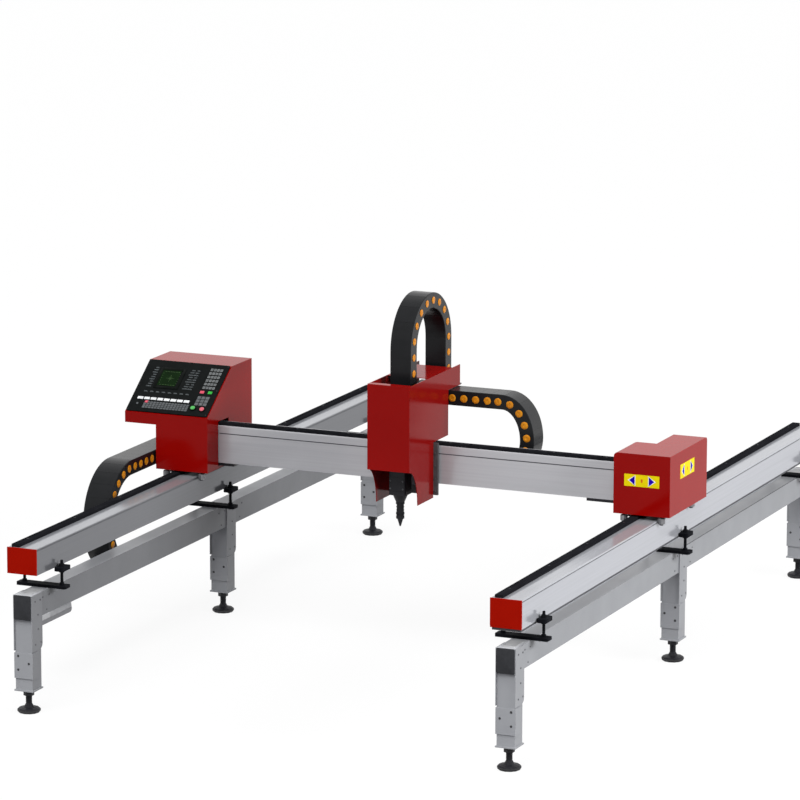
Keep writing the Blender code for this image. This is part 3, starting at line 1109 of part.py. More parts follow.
def make_arch_chain():
    """Upright chain from the shelf on the carriage over to the lifting head."""
    front_y = BEAM_FRONT_Y - ARCH_FRONT_FROM_BEAM
    middle_y = front_y + ARCH_CHAIN_RADIUS
    back_y = middle_y + ARCH_CHAIN_RADIUS
    path = [(front_y, HEAD_BLOCK_TOP_Z + SEAT)]
    path += arc((middle_y, ARCH_CHAIN_CENTRE_Z), ARCH_CHAIN_RADIUS, 180, 0, 24)
    path += [(back_y, SHELF_Z + 2 * SHEET + SEAT)]
    add("arch_chain", chain_mesh("x", path, HEAD_X, ARCH_CHAIN_WIDTH, ARCH_CHAIN_HEIGHT, ARCH_CHAIN_PITCH),
        CHAIN_PLASTIC, (HEAD_X, front_y, HEAD_BLOCK_TOP_Z), LIFT)


def build():
    """Make every piece of the machine."""
    for side, x, reach, way in (("left", LEFT_RAIL_X, LEFT_TONGUE_REACH, 1),
                                ("right", RIGHT_RAIL_X, RIGHT_TONGUE_REACH, -1)):
        make_rail(side, x)
        make_under_frame(side, x)
        make_carriage(side, x, reach, way)
    make_legs()
    make_beam()
    make_cabinet()
    make_controller()
    make_drive_box()
    make_head_carriage()
    make_head_cover()
    make_lift()
    make_side_chain()
    make_beam_chain()
    make_arch_chain()


build()
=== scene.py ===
"""Looks of the rail gantry laser cutting machine: camera, light, finishes and the fine pieces."""

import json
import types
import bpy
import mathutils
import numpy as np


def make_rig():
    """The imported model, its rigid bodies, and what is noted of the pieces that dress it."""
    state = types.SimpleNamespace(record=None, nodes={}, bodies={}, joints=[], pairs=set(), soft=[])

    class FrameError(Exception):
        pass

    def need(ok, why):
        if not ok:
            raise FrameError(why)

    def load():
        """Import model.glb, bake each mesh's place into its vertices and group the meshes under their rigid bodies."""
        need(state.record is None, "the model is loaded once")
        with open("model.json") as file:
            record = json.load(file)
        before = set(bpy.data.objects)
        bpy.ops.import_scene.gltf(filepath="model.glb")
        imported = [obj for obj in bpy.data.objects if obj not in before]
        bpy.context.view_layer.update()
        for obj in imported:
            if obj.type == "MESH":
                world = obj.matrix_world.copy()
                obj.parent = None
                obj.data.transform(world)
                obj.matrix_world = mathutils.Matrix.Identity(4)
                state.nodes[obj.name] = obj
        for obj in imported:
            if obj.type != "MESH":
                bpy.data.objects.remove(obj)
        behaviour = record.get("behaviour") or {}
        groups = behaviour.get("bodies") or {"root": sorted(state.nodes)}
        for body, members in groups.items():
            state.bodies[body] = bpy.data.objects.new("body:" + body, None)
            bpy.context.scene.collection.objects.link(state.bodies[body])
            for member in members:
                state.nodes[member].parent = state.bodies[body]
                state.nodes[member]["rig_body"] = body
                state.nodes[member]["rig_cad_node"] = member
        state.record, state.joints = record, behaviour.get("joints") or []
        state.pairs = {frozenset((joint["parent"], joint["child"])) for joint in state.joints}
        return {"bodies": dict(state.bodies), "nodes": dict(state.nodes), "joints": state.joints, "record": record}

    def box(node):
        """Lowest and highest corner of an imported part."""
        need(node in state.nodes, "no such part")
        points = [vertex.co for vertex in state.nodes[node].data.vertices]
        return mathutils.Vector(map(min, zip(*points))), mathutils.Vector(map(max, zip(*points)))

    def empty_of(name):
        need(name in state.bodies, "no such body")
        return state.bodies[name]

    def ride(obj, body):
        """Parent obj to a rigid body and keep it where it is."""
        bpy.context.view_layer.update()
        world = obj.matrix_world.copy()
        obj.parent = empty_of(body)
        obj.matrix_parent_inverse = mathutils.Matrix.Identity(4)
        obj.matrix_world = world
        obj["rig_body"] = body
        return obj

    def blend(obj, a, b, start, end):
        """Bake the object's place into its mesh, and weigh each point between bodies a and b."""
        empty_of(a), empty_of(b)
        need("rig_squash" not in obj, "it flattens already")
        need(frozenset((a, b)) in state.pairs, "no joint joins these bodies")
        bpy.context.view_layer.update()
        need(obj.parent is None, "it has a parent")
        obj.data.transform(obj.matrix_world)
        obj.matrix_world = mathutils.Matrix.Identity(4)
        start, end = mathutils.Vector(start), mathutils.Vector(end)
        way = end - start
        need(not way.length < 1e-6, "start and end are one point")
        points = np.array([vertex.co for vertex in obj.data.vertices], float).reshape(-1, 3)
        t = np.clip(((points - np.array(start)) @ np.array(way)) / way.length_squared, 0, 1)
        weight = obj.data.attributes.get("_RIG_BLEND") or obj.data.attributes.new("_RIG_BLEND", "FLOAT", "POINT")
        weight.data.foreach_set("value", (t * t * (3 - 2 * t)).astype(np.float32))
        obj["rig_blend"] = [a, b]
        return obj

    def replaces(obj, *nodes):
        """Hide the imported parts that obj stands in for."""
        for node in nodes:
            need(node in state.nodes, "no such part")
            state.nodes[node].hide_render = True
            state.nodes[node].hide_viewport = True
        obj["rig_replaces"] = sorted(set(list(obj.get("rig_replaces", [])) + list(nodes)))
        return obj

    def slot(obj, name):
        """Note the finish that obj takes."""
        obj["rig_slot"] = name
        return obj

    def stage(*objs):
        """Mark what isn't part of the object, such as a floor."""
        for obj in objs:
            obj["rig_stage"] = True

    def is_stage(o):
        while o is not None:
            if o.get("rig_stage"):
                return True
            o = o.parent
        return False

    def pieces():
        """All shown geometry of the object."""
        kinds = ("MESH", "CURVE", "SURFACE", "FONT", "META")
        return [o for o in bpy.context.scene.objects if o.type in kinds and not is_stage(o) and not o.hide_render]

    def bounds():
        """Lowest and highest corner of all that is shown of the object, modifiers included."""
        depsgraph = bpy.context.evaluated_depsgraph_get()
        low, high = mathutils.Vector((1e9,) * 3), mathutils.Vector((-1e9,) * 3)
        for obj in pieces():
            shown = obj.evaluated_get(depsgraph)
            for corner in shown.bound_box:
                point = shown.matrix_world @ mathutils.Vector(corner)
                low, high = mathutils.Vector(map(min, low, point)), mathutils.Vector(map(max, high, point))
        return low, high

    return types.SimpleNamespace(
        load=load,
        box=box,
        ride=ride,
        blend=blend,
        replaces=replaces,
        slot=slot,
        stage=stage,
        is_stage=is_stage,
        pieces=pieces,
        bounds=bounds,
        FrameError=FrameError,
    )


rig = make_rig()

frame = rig.load()
CAD_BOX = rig.bounds()

import json
import math

import bmesh
import bpy
from mathutils import Matrix, Vector

NODES = frame["nodes"]
X, Y, Z = range(3)


def span(node, axis):
    """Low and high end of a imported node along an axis, at rest."""
    low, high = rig.box(node)
    return low[axis], high[axis]


def middle(node, axis):
    return sum(span(node, axis)) / 2


def length(node, axis):
    low, high = span(node, axis)
    return high - low


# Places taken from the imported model
LEFT_X = middle("left_rail", X)
RIGHT_X = middle("right_rail", X)
SIDES = (("left", LEFT_X), ("right", RIGHT_X))
FRONT_Y, REAR_Y = span("left_under_frame", Y)
RAIL_BASE, RAIL_TOP = span("left_rail", Z)
RAIL_HALF = length("left_rail", X) / 2
BEAM_Y, BEAM_REAR_Y = span("cross_beam", Y)
BEAM_TOP = span("cross_beam", Z)[1]
TUBE_TOP = span("left_front_leg", Z)[1]
LEG_PLACES = [(place, middle(f"left_{place}_foot", Y)) for place in ("front", "middle", "rear")]
HEAD_X = middle("cutting_nozzle", X)
HEAD_Y = middle("cutting_nozzle", Y)
BOX_FRONT_Y = span("drive_box_cover", Y)[0]
BOX_SIDE_X = span("drive_box_cover", X)[1]
CHAIN_WIDTH = length("side_chain_run", X)
CHAIN_HEIGHT = length("side_chain_run", Z)

# Places that no box of a node gives
CLAMP_PLACES = [FRONT_Y + distance for distance in (0.185, 1.780, 3.375)]
STUD_REACH = 0.085
TUBE_HALF = 0.038

# Controller plate: local x across, y up the slope, z out of its face
PANEL_LEFT, PANEL_RIGHT = span("control_cabinet", X)
PANEL_FRONT = span("control_cabinet", Y)[0]
PANEL_FOOT = 0.950
SLOPE_DEPTH = 0.247
SLOPE_RISE = span("control_cabinet", Z)[1] - PANEL_FOOT
PANEL_WIDTH = PANEL_RIGHT - PANEL_LEFT
PANEL_LENGTH = math.hypot(SLOPE_RISE, SLOPE_DEPTH)
PANEL_FACE = 0.0063
PANEL = (Matrix.Translation((PANEL_LEFT, PANEL_FRONT, PANEL_FOOT))
         @ Matrix.Rotation(math.atan2(SLOPE_RISE, SLOPE_DEPTH), 4, "X"))

# Camera
CAMERA_PLACE = (8.0136, -18.7742, 5.2287)
CAMERA_YAW = math.radians(23.346)
CAMERA_PITCH = math.radians(11.5793)
CAMERA_ROLL = math.radians(0.1276)
FOCAL_PIXELS = 4901.25
PICTURE_PIXELS = 800.0
SENSOR_WIDTH = 36.0
FAR_CLIP = 400.0


def make_camera():
    right = Vector((math.cos(CAMERA_YAW), math.sin(CAMERA_YAW), 0.0))
    level = math.cos(CAMERA_PITCH)
    forward = Vector((-math.sin(CAMERA_YAW) * level, math.cos(CAMERA_YAW) * level, -math.sin(CAMERA_PITCH)))
    up = right.cross(forward)
    side = math.cos(CAMERA_ROLL) * right + math.sin(CAMERA_ROLL) * up
    top = -math.sin(CAMERA_ROLL) * right + math.cos(CAMERA_ROLL) * up
    turn = Matrix((side, top, -forward)).transposed().to_4x4()
    data = bpy.data.cameras.new("camera")
    data.sensor_width = SENSOR_WIDTH
    data.lens = FOCAL_PIXELS * SENSOR_WIDTH / PICTURE_PIXELS
    data.clip_end = FAR_CLIP
    camera = bpy.data.objects.new("camera", data)
    camera.matrix_world = Matrix.Translation(CAMERA_PLACE) @ turn
    bpy.context.scene.collection.objects.link(camera)
    bpy.context.scene.camera = camera


# Shader node helpers

def add_node(tree, kind, values):
    """New shader node with its constant sockets set."""
    node = tree.nodes.new(f"ShaderNode{kind}")
    for socket, value in values.items():
        node.inputs[socket].default_value = value
    return node


def math_node(tree, operation, first, second, clamp=False):
    """Output of a math node whose second input is a socket or a number."""
    node = tree.nodes.new("ShaderNodeMath")
    node.operation = operation
    node.use_clamp = clamp
    tree.links.new(first, node.inputs[0])
    if isinstance(second, float):
        node.inputs[1].default_value = second
    else:
        tree.links.new(second, node.inputs[1])
    return node.outputs[0]


def noise(tree, vector, scale, detail, rough=0.5):
    node = add_node(tree, "TexNoise", {"Scale": scale, "Detail": detail, "Roughness": rough})
    tree.links.new(vector, node.inputs["Vector"])
    return node.outputs["Fac"]


def ranged(tree, value, low, high):
    """Stretch the middle of a noise to a range."""
    node = add_node(tree, "MapRange", {"From Min": 0.3, "From Max": 0.7, "To Min": low, "To Max": high})
    tree.links.new(value, node.inputs["Value"])
    return node.outputs["Result"]


def tint(tree, factor, colour):
    """Mix the base colour of a finish toward another colour."""
    base = tree.nodes["Principled BSDF"].inputs["Base Color"]
    mix = tree.nodes.new("ShaderNodeMix")
    mix.data_type = "RGBA"
    mix.inputs["B"].default_value = (*colour, 1.0)
    tree.links.new(factor, mix.inputs["Factor"])
    tree.links.new(base.links[0].from_socket, mix.inputs["A"])
    tree.links.new(mix.outputs["Result"], base)


def turned_share(tree, axis, share):
    """Factor that grows up to a share as a face turns along an axis of its node; the mask of painted light and painted
    shade.
    """
    place = tree.nodes.new("ShaderNodeTexCoord")
    split = tree.nodes.new("ShaderNodeSeparateXYZ")
    tree.links.new(place.outputs["Normal"], split.inputs[0])
    return math_node(tree, "MULTIPLY", split.outputs[axis], share, True)


# Light and stage

def only_seen(tree, seen, lit):
    """Mix two shaders: what camera, glossy and transmission rays meet, and what lights the object."""
    path = tree.nodes.new("ShaderNodeLightPath")
    rays = math_node(tree, "MAXIMUM", path.outputs["Is Camera Ray"], path.outputs["Is Glossy Ray"])
    rays = math_node(tree, "MAXIMUM", rays, path.outputs["Is Transmission Ray"])
    mix = tree.nodes.new("ShaderNodeMixShader")
    tree.links.new(rays, mix.inputs[0])
    tree.links.new(lit, mix.inputs[1])
    tree.links.new(seen, mix.inputs[2])
    return mix.outputs[0]


def make_world():
    world = bpy.data.worlds.new("studio")
    world.use_nodes = True
    tree = world.node_tree
    tree.nodes.clear()
    seen = add_node(tree, "Background", {"Color": (1.0, 1.0, 1.0, 1.0), "Strength": 1.0})
    lit = add_node(tree, "Background", {"Color": (0.97, 0.98, 1.0, 1.0), "Strength": 0.20})
    out = tree.nodes.new("ShaderNodeOutputWorld")
    tree.links.new(only_seen(tree, seen.outputs[0], lit.outputs[0]), out.inputs["Surface"])
    bpy.context.scene.world = world


def make_floor():
    """Near-white floor that keeps the object's shadow and throws little light back on it."""
    bm = bmesh.new()
    bmesh.ops.create_grid(bm, x_segments=2, y_segments=2, size=150.0)
    floor = object_from(bm, "studio_floor", [])
    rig.stage(floor)
    material = bpy.data.materials.new("studio_floor")
    material.use_nodes = True
    tree = material.node_tree
    tree.nodes.clear()
    paint_coat = add_node(tree, "BsdfDiffuse", {"Color": (0.80, 0.80, 0.80, 1.0)})
    dim = add_node(tree, "BsdfDiffuse", {"Color": (0.20, 0.20, 0.21, 1.0)})
    glow = add_node(tree, "Emission", {"Color": (1.0, 1.0, 1.0, 1.0), "Strength": 1.0})
    share = add_node(tree, "MixShader", {0: 0.90})
    tree.links.new(paint_coat.outputs[0], share.inputs[1])
    tree.links.new(glow.outputs[0], share.inputs[2])
    out = tree.nodes.new("ShaderNodeOutputMaterial")
    tree.links.new(only_seen(tree, share.outputs[0], dim.outputs[0]), out.inputs["Surface"])
    floor.data.materials.append(material)


def set_lamp(data, place, aim):
    """Stand a lamp at a place, turned to what it lights, and out of the camera's and the gloss's sight."""
    item = bpy.data.objects.new(data.name, data)
    item.location = place
    item.rotation_euler = (Vector(aim) - Vector(place)).to_track_quat("-Z", "Y").to_euler()
    item.visible_camera = False
    item.visible_glossy = False
    bpy.context.scene.collection.objects.link(item)


def make_lights():
    """Three wide suns from front, left and rear, and one soft panel on the right."""
    for name, strength, place, angle in (("key", 2.6, (0.6, -5.2, 8.2), 45.0),
                                         ("left_fill", 0.8, (-4.0, -6.0, 4.0), 60.0),
                                         ("rear_fill", 0.9, (0.5, 6.0, 5.0), 60.0)):
        sun = bpy.data.lights.new(name, "SUN")
        sun.energy = strength
        sun.angle = math.radians(angle)
        set_lamp(sun, place, (0.0, 0.0, 0.0))
    panel = bpy.data.lights.new("right_panel", "AREA")
    panel.energy = 820.0
    panel.shape = "RECTANGLE"
    panel.size = 6.0
    panel.size_y = 2.0
    set_lamp(panel, (8.5, -0.8, 4.0), (0.0, -0.3, 0.8))


# Finishes

def finish(name, dark, light, roughness, grain, bump, fine, spread=0.06, metallic=0.0, specular=0.5):
    """Procedural finish: two tones over a grain, uneven gloss and a fine surface relief.

    The grain is one scale, or three along the axes for a stretched grain; fine is the scale of the relief.
    """
    material = bpy.data.materials.new(name)
    material.use_nodes = True
    tree = material.node_tree
    shader = tree.nodes["Principled BSDF"]
    place = tree.nodes.new("ShaderNodeTexCoord")
    scale = (grain, grain, grain) if isinstance(grain, float) else grain
    stretch = add_node(tree, "Mapping", {"Scale": scale})
    tree.links.new(place.outputs["Object"], stretch.inputs["Vector"])
    tone = noise(tree, stretch.outputs["Vector"], 1.0, 4.0)
    mix = tree.nodes.new("ShaderNodeMix")
    mix.data_type = "RGBA"
    mix.inputs["A"].default_value = (*dark, 1.0)
    mix.inputs["B"].default_value = (*light, 1.0)
    tree.links.new(ranged(tree, tone, 0.0, 1.0), mix.inputs["Factor"])
    tree.links.new(mix.outputs["Result"], shader.inputs["Base Color"])
    worn = noise(tree, place.outputs["Object"], 7.0, 5.0, 0.6)
    gloss = ranged(tree, worn, max(roughness - spread, 0.02), roughness + spread)
    tree.links.new(gloss, shader.inputs["Roughness"])
    raised = add_node(tree, "Bump", {"Strength": bump, "Distance": 0.0004})
    tree.links.new(noise(tree, place.outputs["Object"], fine, 2.0), raised.inputs["Height"])
    tree.links.new(raised.outputs["Normal"], shader.inputs["Normal"])
    shader.inputs["Metallic"].default_value = metallic
    shader.inputs["Specular IOR Level"].default_value = specular
    return material


def frame_paint():
    """Grey paint on the tube of an under-frame, with painted light that makes its upward faces paler, and black on the
    clamps that stand on it.
    """
    material = finish("frame_paint", (0.290, 0.298, 0.316), (0.315, 0.323, 0.342), 0.34, 9.0, 0.08, 650.0,
                      specular=0.18)
    tree = material.node_tree
    rough = tree.nodes["Principled BSDF"].inputs["Roughness"]
    place = tree.nodes.new("ShaderNodeTexCoord")
    split = tree.nodes.new("ShaderNodeSeparateXYZ")
    tree.links.new(place.outputs["Object"], split.inputs[0])
    above = math_node(tree, "GREATER_THAN", split.outputs["Z"], TUBE_TOP + 0.0006)
    # painted light: faces turned upward are mixed toward a pale grey
    tint(tree, turned_share(tree, "Z", 0.45), (0.62, 0.63, 0.66))
    tint(tree, above, (0.007, 0.0075, 0.009))
    tree.links.new(math_node(tree, "MAXIMUM", rough.links[0].from_socket, above), rough)
    return material


def painted_shade_copy(source, share, prefix, axis="X"):
    """Copy of a finish with painted shade: its faces turned along one axis are mixed toward near-black."""
    material = source.copy()
    material.name = f"{prefix}_{source.name}"
    tree = material.node_tree
    # painted shade: faces turned along the axis are mixed toward near-black
    tint(tree, turned_share(tree, axis, share), (0.010, 0.010, 0.011))
    return material


# Metals and paints
RAIL_METAL = finish("rail_aluminium", (0.400, 0.410, 0.440), (0.432, 0.442, 0.474), 0.15,
                    (160.0, 1.5, 160.0), 0.02, 500.0, 0.03, 0.38, 0.18)
BEAM_METAL = finish("beam_aluminium", (0.418, 0.418, 0.438), (0.450, 0.450, 0.472), 0.18,
                    (1.5, 160.0, 160.0), 0.03, 500.0, 0.03, 0.20, 0.18)
TRAY_METAL = finish("tray_zinc", (0.290, 0.294, 0.306), (0.340, 0.344, 0.356), 0.34,
                    (25.0, 12.0, 25.0), 0.05, 400.0, specular=0.25)
SLOT_METAL = finish("slot_metal", (0.420, 0.425, 0.435), (0.480, 0.485, 0.495), 0.36,
                    (25.0, 12.0, 25.0), 0.05, 400.0, specular=0.25)
BRIGHT = finish("bright_metal", (0.15, 0.15, 0.16), (0.24, 0.24, 0.25), 0.30, 80.0, 0.05, 500.0, metallic=0.7)
BLACK_METAL = finish("black_metal", (0.009, 0.009, 0.011), (0.016, 0.016, 0.019), 0.48, 40.0, 0.10, 700.0,
                     specular=0.20)
CLAMP_BLACK = finish("clamp_black", (0.005, 0.0055, 0.007), (0.009, 0.0095, 0.012), 0.60, 40.0, 0.10, 700.0,
                     specular=0.02)
RACK_BLACK = finish("rack_black", (0.009, 0.009, 0.011), (0.014, 0.0145, 0.017), 0.62,
                    (60.0, 8.0, 60.0), 0.12, 800.0, specular=0.0)
SCREW_GREY = finish("screw_grey", (0.085, 0.087, 0.095), (0.120, 0.122, 0.132), 0.40, 120.0, 0.08, 700.0,
                    specular=0.2)
PLATE_GREY = finish("plate_grey", (0.060, 0.059, 0.061), (0.085, 0.083, 0.086), 0.42, 60.0, 0.08, 700.0,
                    specular=0.15)
# Dark grey of painted shade, for strips in the rail and beam grooves, under the right rail's base moulding and along
# the right tube's outer top edge
SHADE_STRIP_GREY = finish("painted_shade_strip", (0.060, 0.061, 0.067), (0.085, 0.086, 0.094), 0.5, 20.0, 0.04, 700.0,
                    specular=0.1)
# Near-black of painted shade in the screws' sockets
SOCKET_SHADE = finish("painted_socket_shade", (0.020, 0.020, 0.022), (0.045, 0.045, 0.048), 0.7, 90.0, 0.03, 900.0)
GREY_PAINT = finish("grey_paint", (0.315, 0.322, 0.342), (0.340, 0.347, 0.366), 0.34, 9.0, 0.08, 650.0,
                    specular=0.18)
FRAME_PAINT = frame_paint()
RED_PAINT = finish("red_paint", (0.236, 0.0012, 0.0006), (0.254, 0.0018, 0.0010), 0.15, 5.0, 0.03, 420.0,
                   0.02, specular=0.08)
CAP_RED = finish("cap_red", (0.325, 0.0050, 0.0010), (0.350, 0.0062, 0.0014), 0.35, 12.0, 0.05, 420.0,
                 specular=0.02)

# Plastics and rubber
CHAIN_BLACK = finish("chain_plastic", (0.0075, 0.0080, 0.0090), (0.0095, 0.0100, 0.0112), 0.24, 25.0, 0.03,
                     900.0, 0.02, specular=0.15)
CAP_ORANGE = finish("orange_cap", (0.470, 0.155, 0.003), (0.610, 0.240, 0.008), 0.42, 60.0, 0.10, 900.0,
                    specular=0.3)
PLUG_BLACK = finish("plug_plastic", (0.024, 0.025, 0.028), (0.032, 0.033, 0.037), 0.50, 60.0, 0.10, 900.0,
                    specular=0.15)
RUBBER = finish("foot_rubber", (0.010, 0.010, 0.011), (0.022, 0.022, 0.024), 0.62, 60.0, 0.25, 500.0)

# Controller
PANEL_BLACK = finish("panel_film", (0.0045, 0.0053, 0.0053), (0.0065, 0.0076, 0.0076), 0.40, 30.0, 0.06,
                     1400.0, specular=0.03)
BEZEL_BLACK = finish("bezel_black", (0.0022, 0.0032, 0.0026), (0.0040, 0.0052, 0.0044), 0.22, 30.0, 0.04,
                     900.0, specular=0.04)
SCREEN_GLASS = finish("screen_glass", (0.0010, 0.0085, 0.0004), (0.0022, 0.0165, 0.0010), 0.14, 12.0, 0.01,
                      500.0, 0.03, specular=0.06)
SCREEN_LINE = finish("screen_line", (0.010, 0.036, 0.004), (0.024, 0.070, 0.009), 0.40, 90.0, 0.02, 500.0)
LEGEND_GREY = finish("legend_grey", (0.055, 0.065, 0.070), (0.105, 0.120, 0.125), 0.5, 200.0, 0.03, 1200.0)
KEY_WHITE = finish("key_white", (0.62, 0.63, 0.64), (0.74, 0.75, 0.76), 0.45, 60.0, 0.08, 1200.0)
KEY_GREY = finish("key_grey", (0.050, 0.056, 0.060), (0.085, 0.092, 0.098), 0.45, 60.0, 0.10, 1200.0)
KEY_PALE = finish("key_pale", (0.100, 0.108, 0.108), (0.150, 0.160, 0.160), 0.45, 60.0, 0.08, 1200.0)
KEY_GREEN = finish("key_green", (0.010, 0.300, 0.018), (0.020, 0.420, 0.035), 0.38, 60.0, 0.05, 1200.0)
KEY_RED = finish("key_red", (0.500, 0.050, 0.085), (0.640, 0.085, 0.130), 0.38, 60.0, 0.05, 1200.0)
BUTTON_GREEN = finish("button_green_skin", (0.045, 0.300, 0.060), (0.075, 0.400, 0.090), 0.35, 60.0, 0.05,
                      1200.0)
BUTTON_RED = finish("button_red_skin", (0.520, 0.085, 0.120), (0.640, 0.130, 0.170), 0.35, 60.0, 0.05, 1200.0)

# Print
LABEL_YELLOW = finish("label_yellow", (0.66, 0.52, 0.002), (0.76, 0.62, 0.004), 0.40, 14.0, 0.03, 900.0,
                      specular=0.05)
LABEL_BLUE = finish("label_blue", (0.009, 0.0008, 0.300), (0.016, 0.0016, 0.420), 0.40, 30.0, 0.03, 900.0,
                    specular=0.03)
LABEL_ORANGE = finish("label_orange", (0.52, 0.110, 0.006), (0.62, 0.170, 0.010), 0.40, 30.0, 0.03, 900.0,
                      specular=0.05)
LABEL_WHITE = finish("label_white", (0.74, 0.74, 0.76), (0.84, 0.84, 0.86), 0.40, 30.0, 0.03, 900.0)

# Copies of finishes with painted shade, for the nodes whose names start with a word: darker faces toward +X on the
# left rail, left frame and legs, the head's red cover and the right frame and legs, and darker upward faces on both
# rails
PAINTED_SHADE_COPIES = {
    # painted shade on the left rail's faces toward +X and upward, and on the left frame and legs toward +X
    "left": {
        RAIL_METAL: painted_shade_copy(painted_shade_copy(RAIL_METAL, 0.64, "left"), 0.28, "top", "Z"),
        GREY_PAINT: painted_shade_copy(GREY_PAINT, 0.50, "left"),
        FRAME_PAINT: painted_shade_copy(FRAME_PAINT, 0.55, "left"),
    },
    # painted shade on the faces of the head's red cover toward +X
    "head": {RED_PAINT: painted_shade_copy(RED_PAINT, 0.24, "head")},
    # painted shade on the right rail's upward faces, and on the right frame and legs toward +X
    "right": {
        RAIL_METAL: painted_shade_copy(RAIL_METAL, 0.15, "right", "Z"),
        GREY_PAINT: painted_shade_copy(GREY_PAINT, 0.24, "right"),
        FRAME_PAINT: painted_shade_copy(FRAME_PAINT, 0.20, "right"),
    },
}

# First rule whose word is in a node's name
NODE_FINISHES = (
    ("under_frame", FRAME_PAINT), ("_leg", GREY_PAINT), ("_foot", BLACK_METAL), ("rail_rack", RACK_BLACK),
    ("beam_rack", RACK_BLACK), ("_cap", CAP_RED), ("_rail", RAIL_METAL), ("cross_beam", BEAM_METAL),
    ("_tray", TRAY_METAL), ("plate", BLACK_METAL), ("motor", BLACK_METAL), ("pinion", BRIGHT),
    ("_roller", BRIGHT), ("control_cabinet", RED_PAINT), ("drive_box_cover", RED_PAINT),
    ("head_cover", RED_PAINT), ("controller_panel", PANEL_BLACK), ("display_screen", SCREEN_GLASS),
    ("start_button", BUTTON_GREEN), ("stop_button", BUTTON_RED), ("head_carriage", PLATE_GREY),
    ("lift_slide", RAIL_METAL), ("lift_screw", BRIGHT), ("cutting_head", BLACK_METAL),
    ("cutting_nozzle", BLACK_METAL), ("chain", CHAIN_BLACK),
)


def dress_nodes():
    """Give every node of the frame its finish, or the finish's copy with painted shade where the node's first word has
    one.
    """
    for name, node in NODES.items():
        material = next(material for word, material in NODE_FINISHES if word in name)
        painted_shade_copies = PAINTED_SHADE_COPIES.get(name.split("_")[0], {})
        node.data.materials.clear()
        node.data.materials.append(painted_shade_copies.get(material, material))


# Mesh helpers

def object_from(bm, name, materials):
    """Object of a finished mesh, smooth but for its edges over 35 degrees."""
    bmesh.ops.recalc_face_normals(bm, faces=bm.faces[:])
    mesh = bpy.data.meshes.new(name)
    bm.to_mesh(mesh)
    bm.free()
    for material in materials:
        mesh.materials.append(material)
    mesh.shade_smooth()
    mesh.set_sharp_from_angle(angle=math.radians(35.0))
    item = bpy.data.objects.new(name, mesh)
    bpy.context.scene.collection.objects.link(item)
    return item


def piece(bm, name, body, materials):
    """Finished mesh as a piece that rides on a body."""
    item = object_from(bm, name, materials)
    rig.ride(item, body)
    return item


def paint(faces, index):
    for face in faces:
        face.material_index = index


def box(bm, low, high, bevel=0.0, index=0, matrix=None, segments=2):
    low, high = Vector(low), Vector(high)
    place = Matrix.Translation((low + high) / 2) @ Matrix.Diagonal((high - low).to_4d())
    made = bmesh.ops.create_cube(bm, size=1.0, matrix=place)["verts"]
    paint({face for vert in made for face in vert.link_faces}, index)
    if bevel:
        edges = list({edge for vert in made for edge in vert.link_edges})
        result = bmesh.ops.bevel(bm, geom=edges, offset=bevel, segments=segments, profile=0.5,
                                 affect="EDGES")
        paint(result["faces"], index)
        kept = {vert for vert in made if vert.is_valid}
        made = list({vert for face in result["faces"] for vert in face.verts} | kept)
    if matrix:
        bmesh.ops.transform(bm, matrix=matrix, verts=made)


def lathe(bm, profile, matrix, sides, index=0):
    """Solid turned about the local Z axis from (radius, z) points that start and end on the axis."""
    chain = [bm.verts.new((radius, 0.0, z)) for radius, z in profile]
    edges = [bm.edges.new(pair) for pair in zip(chain, chain[1:])]
    made = bmesh.ops.spin(bm, geom=chain + edges, cent=(0.0, 0.0, 0.0), axis=(0.0, 0.0, 1.0),
                          angle=2 * math.pi, steps=sides, use_merge=True)
    verts = set(chain) | {item for item in made["geom_last"] if isinstance(item, bmesh.types.BMVert)}
    grown = True
    while grown:
        linked = {other for vert in verts for edge in vert.link_edges for other in edge.verts}
        grown = len(linked - verts) > 0
        verts |= linked
    bmesh.ops.remove_doubles(bm, verts=list(verts), dist=0.000005)
    verts = [vert for vert in verts if vert.is_valid]
    paint({face for vert in verts for face in vert.link_faces}, index)
    bmesh.ops.transform(bm, matrix=matrix, verts=verts)


def ring(bm, profile, matrix, sides, index=0):
    """Closed ring turned about the local Z axis from (radius, z) points that stay off the axis."""
    loops = []
    for step in range(sides):
        angle = 2 * math.pi * step / sides
        turned = [(radius * math.cos(angle), radius * math.sin(angle), z) for radius, z in profile]
        loops.append([bm.verts.new(point) for point in turned])
    paint(join_rings(bm, loops + loops[:1]), index)
    bmesh.ops.transform(bm, matrix=matrix, verts=[vert for loop in loops for vert in loop])


def join_rings(bm, rings):
    """Faces between each closed ring of vertices and the next."""
    faces = []
    count = len(rings[0])
    for first, second in zip(rings, rings[1:]):
        for step in range(count):
            after = (step + 1) % count
            faces.append(bm.faces.new((first[step], first[after], second[after], second[step])))
    return faces


def polygon(bm, points, low, high, matrix=None, index=0):
    """Flat outline given as (x, y) points, extruded from low to high along z."""
    rings = [[bm.verts.new((x, y, z)) for x, y in points] for z in (low, high)]
    faces = [bm.faces.new(rings[0][::-1]), bm.faces.new(rings[1])]
    paint(faces + join_rings(bm, rings), index)
    if matrix:
        bmesh.ops.transform(bm, matrix=matrix, verts=rings[0] + rings[1])


def round_corners(x0, x1, y0, y1, radius, steps):
    """Outline of a rectangle with rounded corners."""
    points = []
    for cx, cy, start in ((x1 - radius, y1 - radius, 0), (x0 + radius, y1 - radius, 90),
                          (x0 + radius, y0 + radius, 180), (x1 - radius, y0 + radius, 270)):
        for step in range(steps + 1):
            angle = math.radians(start + 90 * step / steps)
            points.append((cx + radius * math.cos(angle), cy + radius * math.sin(angle)))
    return points


def facing(place, direction):
    """Matrix that puts local Z along a direction at a place."""
    turn = Vector(direction).to_track_quat("Z", "Y").to_matrix().to_4x4()
    return Matrix.Translation(place) @ turn


